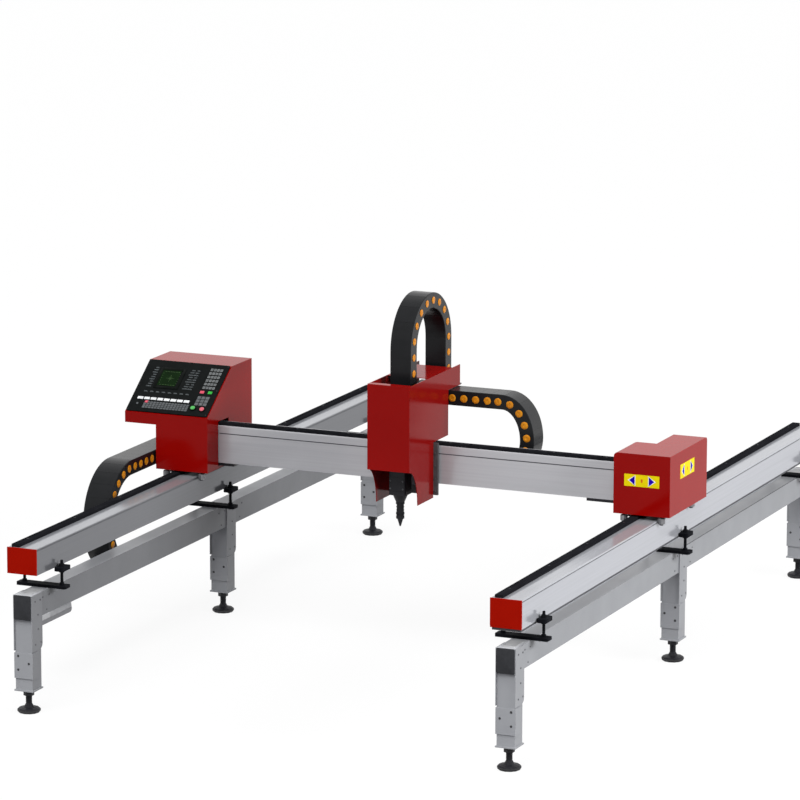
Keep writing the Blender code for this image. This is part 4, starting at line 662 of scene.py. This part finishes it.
def socket_screw(bm, place, direction, radius, height, index=0, dark=1):
    """Cap screw with a rounded head and a six-sided socket drawn as a thin dark disc of painted shade."""
    matrix = facing(place, direction)
    rim = radius * 0.18
    socket = radius * 0.48
    sunk = 0.0004
    rise = 0.0002
    lathe(bm, [(0.0, -sunk), (radius, -sunk), (radius, height - rim), (radius - rim, height), (0.0, height)],
          matrix, 14, index)
    # thin dark disc of painted shade in place of the socket's recess
    lathe(bm, [(0.0, height - rise), (socket, height - rise), (socket, height + rise), (0.0, height + rise)],
          matrix, 6, dark)


def hexagon_nut(bm, place, direction, radius, height):
    lathe(bm, [(0.0, 0.0), (radius * 0.96, 0.0), (radius, height * 0.12), (radius, height * 0.86),
               (radius * 0.90, height), (0.0, height)], facing(place, direction), 6)


def thread(bm, matrix, low, pitch, turns, core, crest, sides):
    """Thread as a stack of ridged rings round a stem, from a height upward."""
    for turn in range(turns):
        z = low + pitch * turn
        ring(bm, [(core, z), (crest, z + 0.0012), (core, z + 0.0024)], matrix, sides)


# Drag chains

def arc(centre, radius, start, end, count):
    """Points along an arc, angles in degrees."""
    angles = [math.radians(start + (end - start) * step / count) for step in range(count + 1)]
    return [(centre[0] + radius * math.cos(angle), centre[1] + radius * math.sin(angle)) for angle in angles]


class Path:
    """A polyline in a plane, walked by distance."""

    def __init__(self, points):
        self.points = [Vector(point) for point in points]
        self.lengths = [(b - a).length for a, b in zip(self.points, self.points[1:])]
        self.total = sum(self.lengths)

    def at(self, distance):
        """Point at a distance from the start."""
        walked = 0.0
        for a, b, length in zip(self.points, self.points[1:], self.lengths):
            if walked + length >= distance - 1e-9 or b is self.points[-1]:
                return a.lerp(b, (distance - walked) / length)
            walked += length


def sweep(bm, path, start, end, steps, section, to_world):
    """Sweep a closed section, given as (across, off) points, along a stretch of a path; both ends closed."""
    look = 0.004
    rings = []
    for step in range(steps + 1):
        distance = start + (end - start) * step / steps
        point = path.at(distance)
        ahead = path.at(min(distance + look, path.total))
        way = (ahead - path.at(max(distance - look, 0.0))).normalized()
        normal = Vector((-way.y, way.x))
        rings.append([bm.verts.new(to_world(point + off * normal, across)) for across, off in section])
    bm.faces.new(rings[0][::-1])
    bm.faces.new(rings[-1])
    join_rings(bm, rings)


def chamfered(width, height, cut):
    """Section of a link: a rectangle with its corners cut."""
    x, y = width / 2, height / 2
    return [(x, y - cut), (x - cut, y), (-x + cut, y), (-x, y - cut),
            (-x, -y + cut), (-x + cut, -y), (x - cut, -y), (x, -y + cut)]


def chain_band(path, width, height, links, to_world):
    """Links of a drag chain: plated bodies with narrow seams over a core."""
    bm = bmesh.new()
    pitch = path.total / links
    half_seam = 0.0003
    inset = 0.0012
    body = chamfered(width, height, 0.0025)
    core = chamfered(width - inset, height - inset, 0.0022)
    sweep(bm, path, 0.001, path.total - 0.001, links * 3, core, to_world)
    for link in range(links):
        sweep(bm, path, link * pitch + half_seam, (link + 1) * pitch - half_seam, 4, body, to_world)
    return bm


def chain_caps(path, width, links, to_world, chosen, radius=0.0162, shift=0.5):
    """Round covers over the hinge pins, on both sides of each chosen link."""
    bm = bmesh.new()
    proud = 0.0022
    shoulder = proud * 0.55
    profile = [(0.0, -0.002), (radius, -0.002), (radius, shoulder), (radius * 0.90, proud),
               (radius * 0.42, proud), (radius * 0.36, shoulder), (0.0, shoulder)]
    for link in chosen:
        point = path.at((link + shift) * path.total / links)
        for side in (-1, 1):
            away = to_world(point, side) - to_world(point, 0.0)
            lathe(bm, profile, facing(to_world(point, side * width / 2), away.normalized()), 20)
    return bm


def weight_span(place, share):
    """Start and end that give every point of a small piece one share of the motion between two bodies."""
    low, high = 0.0, 1.0
    for _ in range(40):
        guess = (low + high) / 2
        if guess * guess * (3 - 2 * guess) < share:
            low = guess
        else:
            high = guess
    reach = Vector((0.0, 0.0, 4000.0))
    start = Vector(place) - reach * ((low + high) / 2)
    return start, start + reach


def straight_run(name, node, body, loop_body, first, last, width, links, shift, to_world):
    """Upper run from carrier to loop: a band that slides along itself, and covers that stay round."""
    path = Path([first, last])
    band = object_from(chain_band(path, width, CHAIN_HEIGHT, links, to_world), name, [CHAIN_BLACK])
    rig.slot(band, "chain_plastic")
    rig.replaces(band, node)
    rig.blend(band, body, loop_body, to_world(Vector(first), 0.0), to_world(Vector(last), 0.0))
    for link in range(links):
        bm = chain_caps(path, width, links, to_world, [link], shift=shift)
        caps = object_from(bm, f"{name}_cover_{link + 1}", [CAP_ORANGE])
        place = to_world(path.at((link + 0.5) * path.total / links), 0.0)
        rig.blend(caps, body, loop_body, *weight_span(place, (link + 0.5) / links))


def chain_loop(name, node, body, points, width, links, to_world):
    """Bend and lower run, which travel as one."""
    path = Path(points)
    band = piece(chain_band(path, width, CHAIN_HEIGHT, links, to_world), name, body, [CHAIN_BLACK])
    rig.slot(band, "chain_plastic")
    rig.replaces(band, node)
    piece(chain_caps(path, width, links, to_world, range(links)), f"{name}_covers", body, [CAP_ORANGE])


def make_side_chain():
    """Chain of the gantry, beside the left rail."""
    width = CHAIN_WIDTH + 0.005
    centre = middle("side_chain_run", X)
    upper_z = middle("side_chain_run", Z)
    lower_z = span("side_chain_loop", Z)[0] + CHAIN_HEIGHT / 2
    radius = (upper_z - lower_z) / 2
    bend = Vector((BEAM_Y - 0.324, lower_z + radius))
    run_end = (span("side_chain_run", Y)[1], upper_z)
    loop_end = (span("side_chain_loop", Y)[1], lower_z)

    def beside(point, across):
        return Vector((centre + across, point.x, point.y))

    straight_run("side_chain_upper", "side_chain_run", "gantry", "side_chain", run_end, (bend.x, upper_z),
                 width, 12, 0.5, beside)
    points = arc(bend, radius, 90, 270, 48) + [loop_end]
    chain_loop("side_chain_bend", "side_chain_loop", "side_chain", points, width, 26, beside)


def make_beam_chain():
    """Chain of the head carriage, behind the beam; the upper quarter of its bend is squarer."""
    centre = middle("beam_chain_run", Y)
    upper_z = middle("beam_chain_run", Z)
    lower_z = span("beam_chain_loop", Z)[0] + CHAIN_HEIGHT / 2
    radius = (upper_z - lower_z) / 2
    flat = 0.046
    bend = Vector((HEAD_X + 0.290, lower_z + radius))
    run_end = (span("beam_chain_run", X)[0], upper_z)
    loop_end = (span("beam_chain_loop", X)[0], lower_z)

    def behind(point, across):
        return Vector((point.x, centre + across, point.y))

    straight_run("beam_chain_upper", "beam_chain_run", "head", "beam_chain", run_end, (bend.x, upper_z),
                 CHAIN_WIDTH, 7, 0.62, behind)
    quarter = []
    for step in range(16):
        angle = math.radians(90 - 6 * step)
        across = flat + (radius - flat) * math.cos(angle)
        quarter.append((bend.x + across, bend.y + radius * math.sin(angle)))
    points = [(bend.x, upper_z)] + quarter + arc(bend, radius, 0, -90, 20)[1:] + [loop_end]
    chain_loop("beam_chain_bend", "beam_chain_loop", "beam_chain", points, CHAIN_WIDTH, 16, behind)


def make_arch_chain():
    """Chain of the lift, standing over the head cover as one soft band between head and lift."""
    front = BEAM_Y - 0.118
    radius = 0.187
    centre_z = 1.317
    front_foot, rear_foot = 1.0205, 1.1158
    width = 0.094
    height = 0.066
    links = 16

    def upright(point, across):
        return Vector((HEAD_X + across, point.x, point.y))

    bend = arc((front + radius, centre_z), radius, 180, 0, 48)
    path = Path([(front, front_foot)] + bend + [(front + 2 * radius, rear_foot)])
    spread = (Vector((HEAD_X, front + 0.370, 1.2)), Vector((HEAD_X, front + 0.010, 1.2)))
    band = object_from(chain_band(path, width, height, links, upright), "arch_chain_band", [CHAIN_BLACK])
    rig.slot(band, "chain_plastic")
    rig.replaces(band, "arch_chain")
    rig.blend(band, "head", "lift", *spread)
    bm = chain_caps(path, width, links, upright, range(1, links), 0.0152, 0.0)
    caps = object_from(bm, "arch_chain_covers", [CAP_ORANGE])
    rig.blend(caps, "head", "lift", *spread)


# Controller

def spot(s, t):
    """Place on the controller plate from shares of its width and length."""
    return s * PANEL_WIDTH, t * PANEL_LENGTH


def pad(bm, x0, x1, y0, y1, low, high, index=0, matrix=PANEL):
    """Sharp-edged raised field on the controller plate."""
    box(bm, (x0, y0, low), (x1, y1, high), 0.0, index, matrix)


def key(bm, s, t, wide, high, index=0, rise=0.0016):
    """Rounded key centred at a spot."""
    x, y = spot(s, t)
    low = (x - wide / 2, y - high / 2, PANEL_FACE - 0.0004)
    box(bm, low, (x + wide / 2, y + high / 2, PANEL_FACE + rise), 0.0006, index, PANEL, 1)


def mark(bm, s, t, half_x, half_y, low, high, index=0):
    """Print on a key, centred at a spot."""
    x, y = spot(s, t)
    pad(bm, x - half_x, x + half_x, y - half_y, y + half_y, PANEL_FACE + low, PANEL_FACE + high, index)


def make_screen():
    """Bezel round the screen and the drawing on its glass."""
    bm = bmesh.new()
    x0, y0 = spot(0.236, 0.500)
    x1, y1 = spot(0.474, 0.806)
    edge = 0.013
    for low, high in (((x0 - edge, y0 - edge), (x0, y1 + edge)), ((x1, y0 - edge), (x1 + edge, y1 + edge)),
                      ((x0, y0 - edge), (x1, y0)), ((x0, y1), (x1, y1 + edge))):
        box(bm, (*low, PANEL_FACE - 0.0004), (*high, PANEL_FACE + 0.0022), 0.0008, 0, PANEL)
    piece(bm, "screen_bezel", "gantry", [BEZEL_BLACK])

    bm = bmesh.new()
    glass = PANEL_FACE + 0.0014
    low, high = glass - 0.0003, glass + 0.0003
    centre = PANEL @ Matrix.Translation((*spot(0.357, 0.655), 0.0))
    for spin in range(4):
        reach = 0.020 if spin % 2 == 0 else 0.012
        turn = centre @ Matrix.Rotation(math.radians(45 * spin), 4, "Z")
        pad(bm, -reach, reach, -0.0006, 0.0006, low, high, 0, turn)
    for t in (0.530, 0.777):
        for step in range(6):
            x, y = spot(0.275 + 0.032 * step, t)
            pad(bm, x - 0.0045, x + 0.0045, y - 0.0009, y + 0.0009, low, high)
    for s in (0.255, 0.455):
        for step in range(5):
            x, y = spot(s, 0.565 + 0.045 * step)
            pad(bm, x - 0.0012, x + 0.0012, y - 0.0016, y + 0.0016, low, high)
    piece(bm, "screen_drawing", "gantry", [SCREEN_LINE])


def make_legends():
    """Plain bars in place of the plate's print, two to a legend."""
    bm = bmesh.new()
    low, high = PANEL_FACE - 0.0002, PANEL_FACE + 0.0003
    for row in range(9):
        shift = 0.004 * ((row * 7) % 3 - 1)
        for s, wide in ((0.150, 0.021), (0.590, 0.022), (0.650, 0.019)):
            x, y = spot(s, 0.490 + 0.044 * row)
            for line in range(2):
                base = y + 0.0034 * line
                short = 0.003 * ((row + line) % 2)
                pad(bm, x - wide / 2 + shift, x + wide / 2 - short, base - 0.0028, base - 0.0012, low, high)
    for column in range(8):
        x, y = spot(0.142 + 0.072 * column, 0.390)
        for line in range(2):
            base = y + 0.0036 * line
            pad(bm, x - 0.0085, x + 0.0085 - 0.003 * line, base - 0.0028, base - 0.0010, low, high)
    piece(bm, "panel_legends", "gantry", [LEGEND_GREY])


def make_keys():
    """Function keys, letter keys, arrow and number blocks, and three coloured keys."""
    bm = bmesh.new()
    for column in range(8):
        key(bm, 0.117 + 0.0800 * column, 0.256, 0.0262, 0.0140, rise=0.0022)
    piece(bm, "function_keys", "gantry", [KEY_WHITE])

    arrows = [(row, column, 0.804 + 0.050 * column, 0.230 + 0.060 * row)
              for row in range(3) for column in range(3)]
    bm = bmesh.new()
    key(bm, 0.110, 0.150, 0.009, 0.009)
    for row in range(4):
        for column in range(1 if row == 3 else 0, 15):
            key(bm, 0.200 + 0.0366 * column, 0.090 + 0.033 * row, 0.0120, 0.0084)
    for _, _, s, t in arrows:
        key(bm, s, t, 0.0165, 0.0160)
    piece(bm, "letter_keys", "gantry", [KEY_GREY])

    bm = bmesh.new()
    for row in range(1, 7):
        for column in range(4):
            s, t = 0.802 + 0.0385 * column, 0.474 + 0.0680 * row
            key(bm, s, t, 0.0118, 0.0140)
            mark(bm, s, t, 0.0030, 0.0028, 0.0012, 0.0018, 1)
    for row, column, s, t in arrows:
        if (row + column) % 2:
            mark(bm, s, t, 0.0022, 0.0022, 0.0014, 0.0019)
    piece(bm, "number_keys", "gantry", [KEY_PALE, KEY_GREY])

    bm = bmesh.new()
    key(bm, 0.210, 0.194, 0.0150, 0.0120)
    key(bm, 0.806, 0.455, 0.0190, 0.0150)
    key(bm, 0.902, 0.456, 0.0190, 0.0150, 1)
    piece(bm, "coloured_keys", "gantry", [KEY_RED, KEY_GREEN])


def make_panel_fittings():
    """Collars of the two push buttons and the plate's screws."""
    bm = bmesh.new()
    collar = [(0.0106, 0.0), (0.0140, 0.0), (0.0140, 0.0030), (0.0132, 0.0040), (0.0106, 0.0040)]
    for place in ((0.309, 0.044), (0.353, 0.041)):
        ring(bm, collar, PANEL @ Matrix.Translation((*place, PANEL_FACE)), 28)
    piece(bm, "button_collars", "gantry", [BEZEL_BLACK])

    bm = bmesh.new()
    out = PANEL.to_3x3() @ Vector((0.0, 0.0, 1.0))
    for x in (0.011, PANEL_WIDTH - 0.011):
        for y in (0.012, PANEL_LENGTH / 2, PANEL_LENGTH - 0.012):
            socket_screw(bm, PANEL @ Vector((x, y, PANEL_FACE)), out, 0.0032, 0.0014)
    piece(bm, "panel_screws", "gantry", [BLACK_METAL, SOCKET_SHADE])


# Labels

def make_labels():
    """Plain arrow labels of the drive box: yellow plates with two outward arrowheads and a mark between."""
    upright = Matrix.Rotation(math.radians(90), 4, "X")
    front = Matrix.Translation((RIGHT_X, BOX_FRONT_Y, 0.8555)) @ upright
    side = (Matrix.Translation((BOX_SIDE_X, BEAM_Y + 0.095, 0.880))
            @ Matrix.Rotation(math.radians(90), 4, "Z") @ upright)
    border = 0.003
    for name, matrix, wide, high in (("front_label", front, 0.154, 0.051),
                                     ("side_label", side, 0.168, 0.060)):
        bm = bmesh.new()
        x, y = wide / 2, high / 2
        tip, base, half = x - 0.018, x - 0.046, y - 0.006
        polygon(bm, round_corners(-x, x, -y, y, 0.002, 2), -0.0001, 0.0005, matrix)
        for way in (-1, 1):
            white = [(way * (tip + border), 0.0), (way * (base - border), half + border),
                     (way * (base - border), -half - border)]
            blue = [(way * (tip - 0.004), 0.0), (way * base, half), (way * base, -half)]
            polygon(bm, white[::way], 0.0005, 0.0007, matrix, 2)
            polygon(bm, blue[::way], 0.0007, 0.0009, matrix, 1)
        polygon(bm, round_corners(-0.004, 0.004, -0.0075, 0.0075, 0.002, 3), 0.0005, 0.0008, matrix, 3)
        piece(bm, name, "gantry", [LABEL_YELLOW, LABEL_BLUE, LABEL_WHITE, LABEL_ORANGE])


# Fasteners and small fittings

def make_leg_fittings():
    """Screws of the leg sleeves, the cheeks and the under-frames, and the plugs in the tube ends."""
    sleeve_screws = ((-0.024, 0.241), (0.024, 0.212), (-0.024, 0.184))
    cheek_screws = ((-0.016, 0.467), (0.028, 0.466), (0.008, 0.408), (0.008, 0.348), (0.032, 0.289),
                    (-0.016, 0.288))
    tube_screws = ((0.060, 0.469), (0.116, 0.468), (0.093, 0.411))
    outline = round_corners(-0.0386, 0.0386, 0.3934, 0.4946, 0.0055, 4)
    inner = round_corners(-0.0360, 0.0360, 0.3960, 0.4920, 0.0040, 4)
    for (side, x), turn in zip(SIDES, (1, -1)):
        bm = bmesh.new()
        for _, y in LEG_PLACES:
            for dx, z in sleeve_screws:
                socket_screw(bm, (x + turn * dx, y - 0.043, z), (0.0, -1.0, 0.0), 0.0052, 0.0016, 1)
            for way in (-1, 1):
                for dy, z in cheek_screws:
                    socket_screw(bm, (x + way * 0.0423, y + dy, z), (way, 0.0, 0.0), 0.0040, 0.0016)
                for dy, z in tube_screws:
                    for along in (-1, 1):
                        if abs(y + along * dy) < REAR_Y - 0.01:
                            place = (x + way * TUBE_HALF, y + along * dy, z)
                            socket_screw(bm, place, (way, 0.0, 0.0), 0.0040, 0.0012)
        piece(bm, f"{side}_leg_screws", "frame", [SCREW_GREY, SOCKET_SHADE])

        bm = bmesh.new()
        for y, way in ((FRONT_Y, -1), (REAR_Y, 1)):
            rings = []
            for points, off in ((outline, -0.0008), (outline, 0.0028), (inner, 0.0042)):
                rings.append([bm.verts.new((x + px, y + way * off, pz)) for px, pz in points])
            join_rings(bm, rings)
            bm.faces.new(rings[0])
            bm.faces.new(rings[-1])
        piece(bm, f"{side}_tube_plugs", "frame", [PLUG_BLACK])


def make_foot_threads():
    """Thread on each foot's stem and the ribbed edge of its pad."""
    rib = [(0.0462, 0.0060), (0.0478, 0.0070), (0.0478, 0.0120), (0.0462, 0.0130)]
    for side, x in SIDES:
        for place, y in LEG_PLACES:
            centre = Matrix.Translation((x, y, 0.0))
            bm = bmesh.new()
            thread(bm, centre, 0.040, 0.0030, 10, 0.0120, 0.0132, 20)
            ring(bm, rib, centre, 32, 1)
            piece(bm, f"{side}_{place}_foot_thread", f"{side}_{place}_foot_body", [BLACK_METAL, RUBBER])


def make_clamp_fittings():
    """Rounded skins on the bars and lugs of the rail clamps, and threads, washers and nuts on their studs."""
    bar = round_corners(-0.1120, 0.1120, -0.0240, 0.0240, 0.0065, 4)
    lug = round_corners(-0.0213, 0.0213, -0.0370, 0.0370, 0.0100, 5)
    washer = [(0.0, 0.5064), (0.0135, 0.5064), (0.0138, 0.5074), (0.0130, 0.5084), (0.0, 0.5084)]
    for side, x in SIDES:
        bm = bmesh.new()
        for y in CLAMP_PLACES:
            polygon(bm, bar, 0.4944, 0.5066, Matrix.Translation((x, y, 0.0)))
            for way in (-1, 1):
                polygon(bm, lug, 0.5692, 0.5848, Matrix.Translation((x + way * 0.0878, y, 0.0)))
                stud = Matrix.Translation((x + way * STUD_REACH, y, 0.0))
                thread(bm, stud, 0.516, 0.0034, 14, 0.0054, 0.0067, 14)
                thread(bm, stud, 0.5945, 0.0034, 4, 0.0054, 0.0067, 14)
                lathe(bm, washer, stud, 20)
                hexagon_nut(bm, (x + way * STUD_REACH, y, 0.5080), (0.0, 0.0, 1.0), 0.0108, 0.0085)
        piece(bm, f"{side}_clamp_skins", "frame", [CLAMP_BLACK])


def make_rack_and_cover_screws():
    """Flat screws along the three racks, and the screws of the sheet covers."""
    flat_head = [(0.0, 0.0), (0.0045, 0.0), (0.0036, 0.0004), (0.0, 0.0004)]
    for side, x in SIDES:
        bm = bmesh.new()
        rack_top = span(f"{side}_rail_rack", Z)[1]
        for index in range(9):
            place = (x - 0.033, FRONT_Y + 0.12 + 0.415 * index, rack_top)
            lathe(bm, flat_head, Matrix.Translation(place), 14)
        piece(bm, f"{side}_rack_screws", "frame", [BLACK_METAL])
    bm = bmesh.new()
    rack_top = span("beam_rack", Z)[1]
    for index in range(8):
        place = (LEFT_X + 0.25 + 0.235 * index, BEAM_Y + 0.020, rack_top)
        lathe(bm, flat_head, Matrix.Translation(place), 14)
    piece(bm, "beam_rack_screws", "gantry", [BLACK_METAL])

    bm = bmesh.new()
    front, rear = BEAM_Y - 0.085, BEAM_Y + 0.306
    for x, y in ((LEFT_X - 0.125, front), (LEFT_X - 0.125, rear), (RIGHT_X - 0.124, front)):
        socket_screw(bm, (x, y, 0.748), (-1.0, 0.0, 0.0), 0.004, 0.002)
    piece(bm, "cover_screws", "gantry", [BLACK_METAL, SOCKET_SHADE])


def shade_strip_edges(wall, way):
    """Low and high side of a dark strip of painted shade that fills a groove and stands a hair proud of its wall."""
    return sorted((wall + way * 0.00015, wall - way * 0.0018))


def make_trim():
    """Dark strips of painted shade in the grooves of rails and beam, and covers over the tubes' access slots."""
    for side, x in SIDES:
        bm = bmesh.new()
        for way in (-1, 1):
            low, high = shade_strip_edges(x + way * RAIL_HALF, way)
            # dark strip of painted shade along each groove of the rail
            box(bm, (low, FRONT_Y + 0.0065, RAIL_TOP - 0.0095), (high, REAR_Y - 0.0065, RAIL_TOP - 0.0055),
                0.0004, segments=1)
        piece(bm, f"{side}_rail_groove_liners", "frame", [SHADE_STRIP_GREY])

        bm = bmesh.new()
        for way in (-1, 1):
            for near, far in ((0.027, 0.046), (0.050, 0.133)):
                first, second = sorted((way * (REAR_Y - near), way * (REAR_Y - far)))
                outline = round_corners(x - 0.0265, x + 0.0265, first, second, 0.006, 3)
                polygon(bm, outline, TUBE_TOP - 0.0004, TUBE_TOP + 0.0016)
        piece(bm, f"{side}_slot_covers", "frame", [SLOT_METAL])

    bm = bmesh.new()
    for wall, way in ((BEAM_Y, -1), (BEAM_REAR_Y, 1)):
        low, high = shade_strip_edges(wall, way)
        # dark strip of painted shade along each groove of the beam
        box(bm, (LEFT_X + 0.125, low, BEAM_TOP - 0.0376), (RIGHT_X - 0.126, high, BEAM_TOP - 0.0326),
            0.0004, segments=1)
    piece(bm, "beam_groove_shade_strips", "gantry", [SHADE_STRIP_GREY])


def make_tray_ledge():
    """Ledge along the front of the side chain's tray, with a rounded lip that is painted with shade on its face toward
    +X.
    """
    bm = bmesh.new()
    start, end, low, high = -1.500, -1.183, 0.2855, 0.3040
    outer, inner = -1.106, -1.0605
    bend = 0.014
    top = [(outer, start), (inner, start), (inner, end), (outer, end + 0.083)]
    polygon(bm, top, high - 0.002, high)
    corner = [math.radians(15 * step) for step in range(1, 7)]
    lip = [(start, low), (end - bend, low)]
    lip += [(end - bend + bend * math.sin(angle), low + bend - bend * math.cos(angle)) for angle in corner]
    lip += [(end, high), (start, high)]
    stand = Matrix(((0.0, 0.0, 1.0, 0.0), (1.0, 0.0, 0.0, 0.0), (0.0, 1.0, 0.0, 0.0), (0.0, 0.0, 0.0, 1.0)))
    polygon(bm, lip, -1.0620, -1.0600, stand, 1)
    # the lip takes the left grey paint's copy with painted shade
    piece(bm, "side_tray_ledge", "frame", [TRAY_METAL, PAINTED_SHADE_COPIES["left"][GREY_PAINT]])


def make_rail_foot():
    """Base moulding and cap skirts of the right rail, with a dark strip of painted shade under the moulding, and the
    edge strips of its tube, clear of the clamps, with a dark line of painted shade along its outer top edge.
    """
    bm = bmesh.new()
    step_z = RAIL_BASE - 0.0085
    box(bm, (RIGHT_X - 0.0655, FRONT_Y + 0.0065, step_z),
        (RIGHT_X + 0.0658, REAR_Y - 0.0065, RAIL_BASE + 0.0005), 0.0006, segments=1)
    # dark strip of painted shade under the base moulding
    box(bm, (RIGHT_X - 0.0600, FRONT_Y + 0.0070, step_z - 0.0110),
        (RIGHT_X + 0.0600, REAR_Y - 0.0070, step_z + 0.0001), index=1)
    piece(bm, "right_rail_foot", "frame", [RAIL_METAL, SHADE_STRIP_GREY])

    bm = bmesh.new()
    for start in (FRONT_Y + 0.0002, REAR_Y - 0.0062):
        box(bm, (RIGHT_X - 0.0656, start, step_z + 0.0001),
            (RIGHT_X + 0.0656, start + 0.0060, RAIL_BASE + 0.0002), 0.0005, segments=1)
    piece(bm, "right_cap_skirts", "frame", [CAP_RED])

    bm = bmesh.new()
    clear = 0.027
    edges = [FRONT_Y + 0.145, *CLAMP_PLACES, REAR_Y - 0.145]
    for first, second in zip(edges, edges[1:]):
        if second - first > 0.10:
            box(bm, (RIGHT_X - 0.0375, first + clear, TUBE_TOP - 0.0004),
                (RIGHT_X - 0.0320, second - clear, TUBE_TOP + 0.0050), 0.0006, segments=1)
    # dark line of painted shade along the tube's outer top edge
    box(bm, (RIGHT_X + 0.0370, 0.030, TUBE_TOP - 0.0028),
        (RIGHT_X + 0.0384, REAR_Y - 0.030, TUBE_TOP + 0.0002), 0.0003, 1, segments=1)
    piece(bm, "right_tube_edge_strips", "frame", [GREY_PAINT, SHADE_STRIP_GREY])


def make_head_fittings():
    """Rings, knurl, bands and screws of the cutting head, and the screws of its carriage plate."""
    bm = bmesh.new()
    centre = Matrix.Translation((HEAD_X, HEAD_Y, 0.0))
    edge = 0.001
    for z, radius, height in ((0.6705, 0.0190, 0.0060), (0.6560, 0.0172, 0.0030), (0.6420, 0.0172, 0.0030)):
        top = z + height
        lathe(bm, [(0.0, z), (radius - edge, z), (radius, z + edge), (radius, top - edge),
                   (radius - edge, top), (0.0, top)], centre, 28)
    for step in range(24):
        place = centre @ Matrix.Rotation(2 * math.pi * step / 24, 4, "Z")
        box(bm, (0.0165, -0.0011, 0.6245), (0.0178, 0.0011, 0.6345), matrix=place)
    for z in (0.730, 0.790, 0.850):
        polygon(bm, round_corners(-0.0392, 0.0392, -0.0412, 0.0412, 0.011, 4), z, z + 0.002, centre)
    for way in (-1, 1):
        for z in (0.742, 0.775):
            place = (HEAD_X + way * 0.028, HEAD_Y - 0.040, z)
            socket_screw(bm, place, (0.0, -1.0, 0.0), 0.0036, 0.002, 1, 2)
    piece(bm, "cutting_head_rings", "lift", [BLACK_METAL, SCREW_GREY, SOCKET_SHADE])

    bm = bmesh.new()
    for way in (-1, 1):
        for z in (0.706, 0.760, 0.815, 0.870):
            socket_screw(bm, (HEAD_X + way * 0.103, BEAM_Y - 0.0197, z), (0.0, -1.0, 0.0), 0.0045, 0.003)
    piece(bm, "head_plate_screws", "head", [PLATE_GREY, SOCKET_SHADE])


make_camera()
make_world()
make_floor()
make_lights()
dress_nodes()
make_side_chain()
make_beam_chain()
make_arch_chain()
make_screen()
make_legends()
make_keys()
make_panel_fittings()
make_labels()
make_leg_fittings()
make_foot_threads()
make_clamp_fittings()
make_rack_and_cover_screws()
make_trim()
make_tray_ledge()
make_rail_foot()
make_head_fittings()
bpy.context.scene.view_settings.view_transform = "Standard"


def plain(bounds):
    return [[float(value) for value in corner] for corner in bounds]


with open("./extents.json", "w") as handle:
    json.dump({"cad": plain(CAD_BOX), "visual": plain(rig.bounds())}, handle)
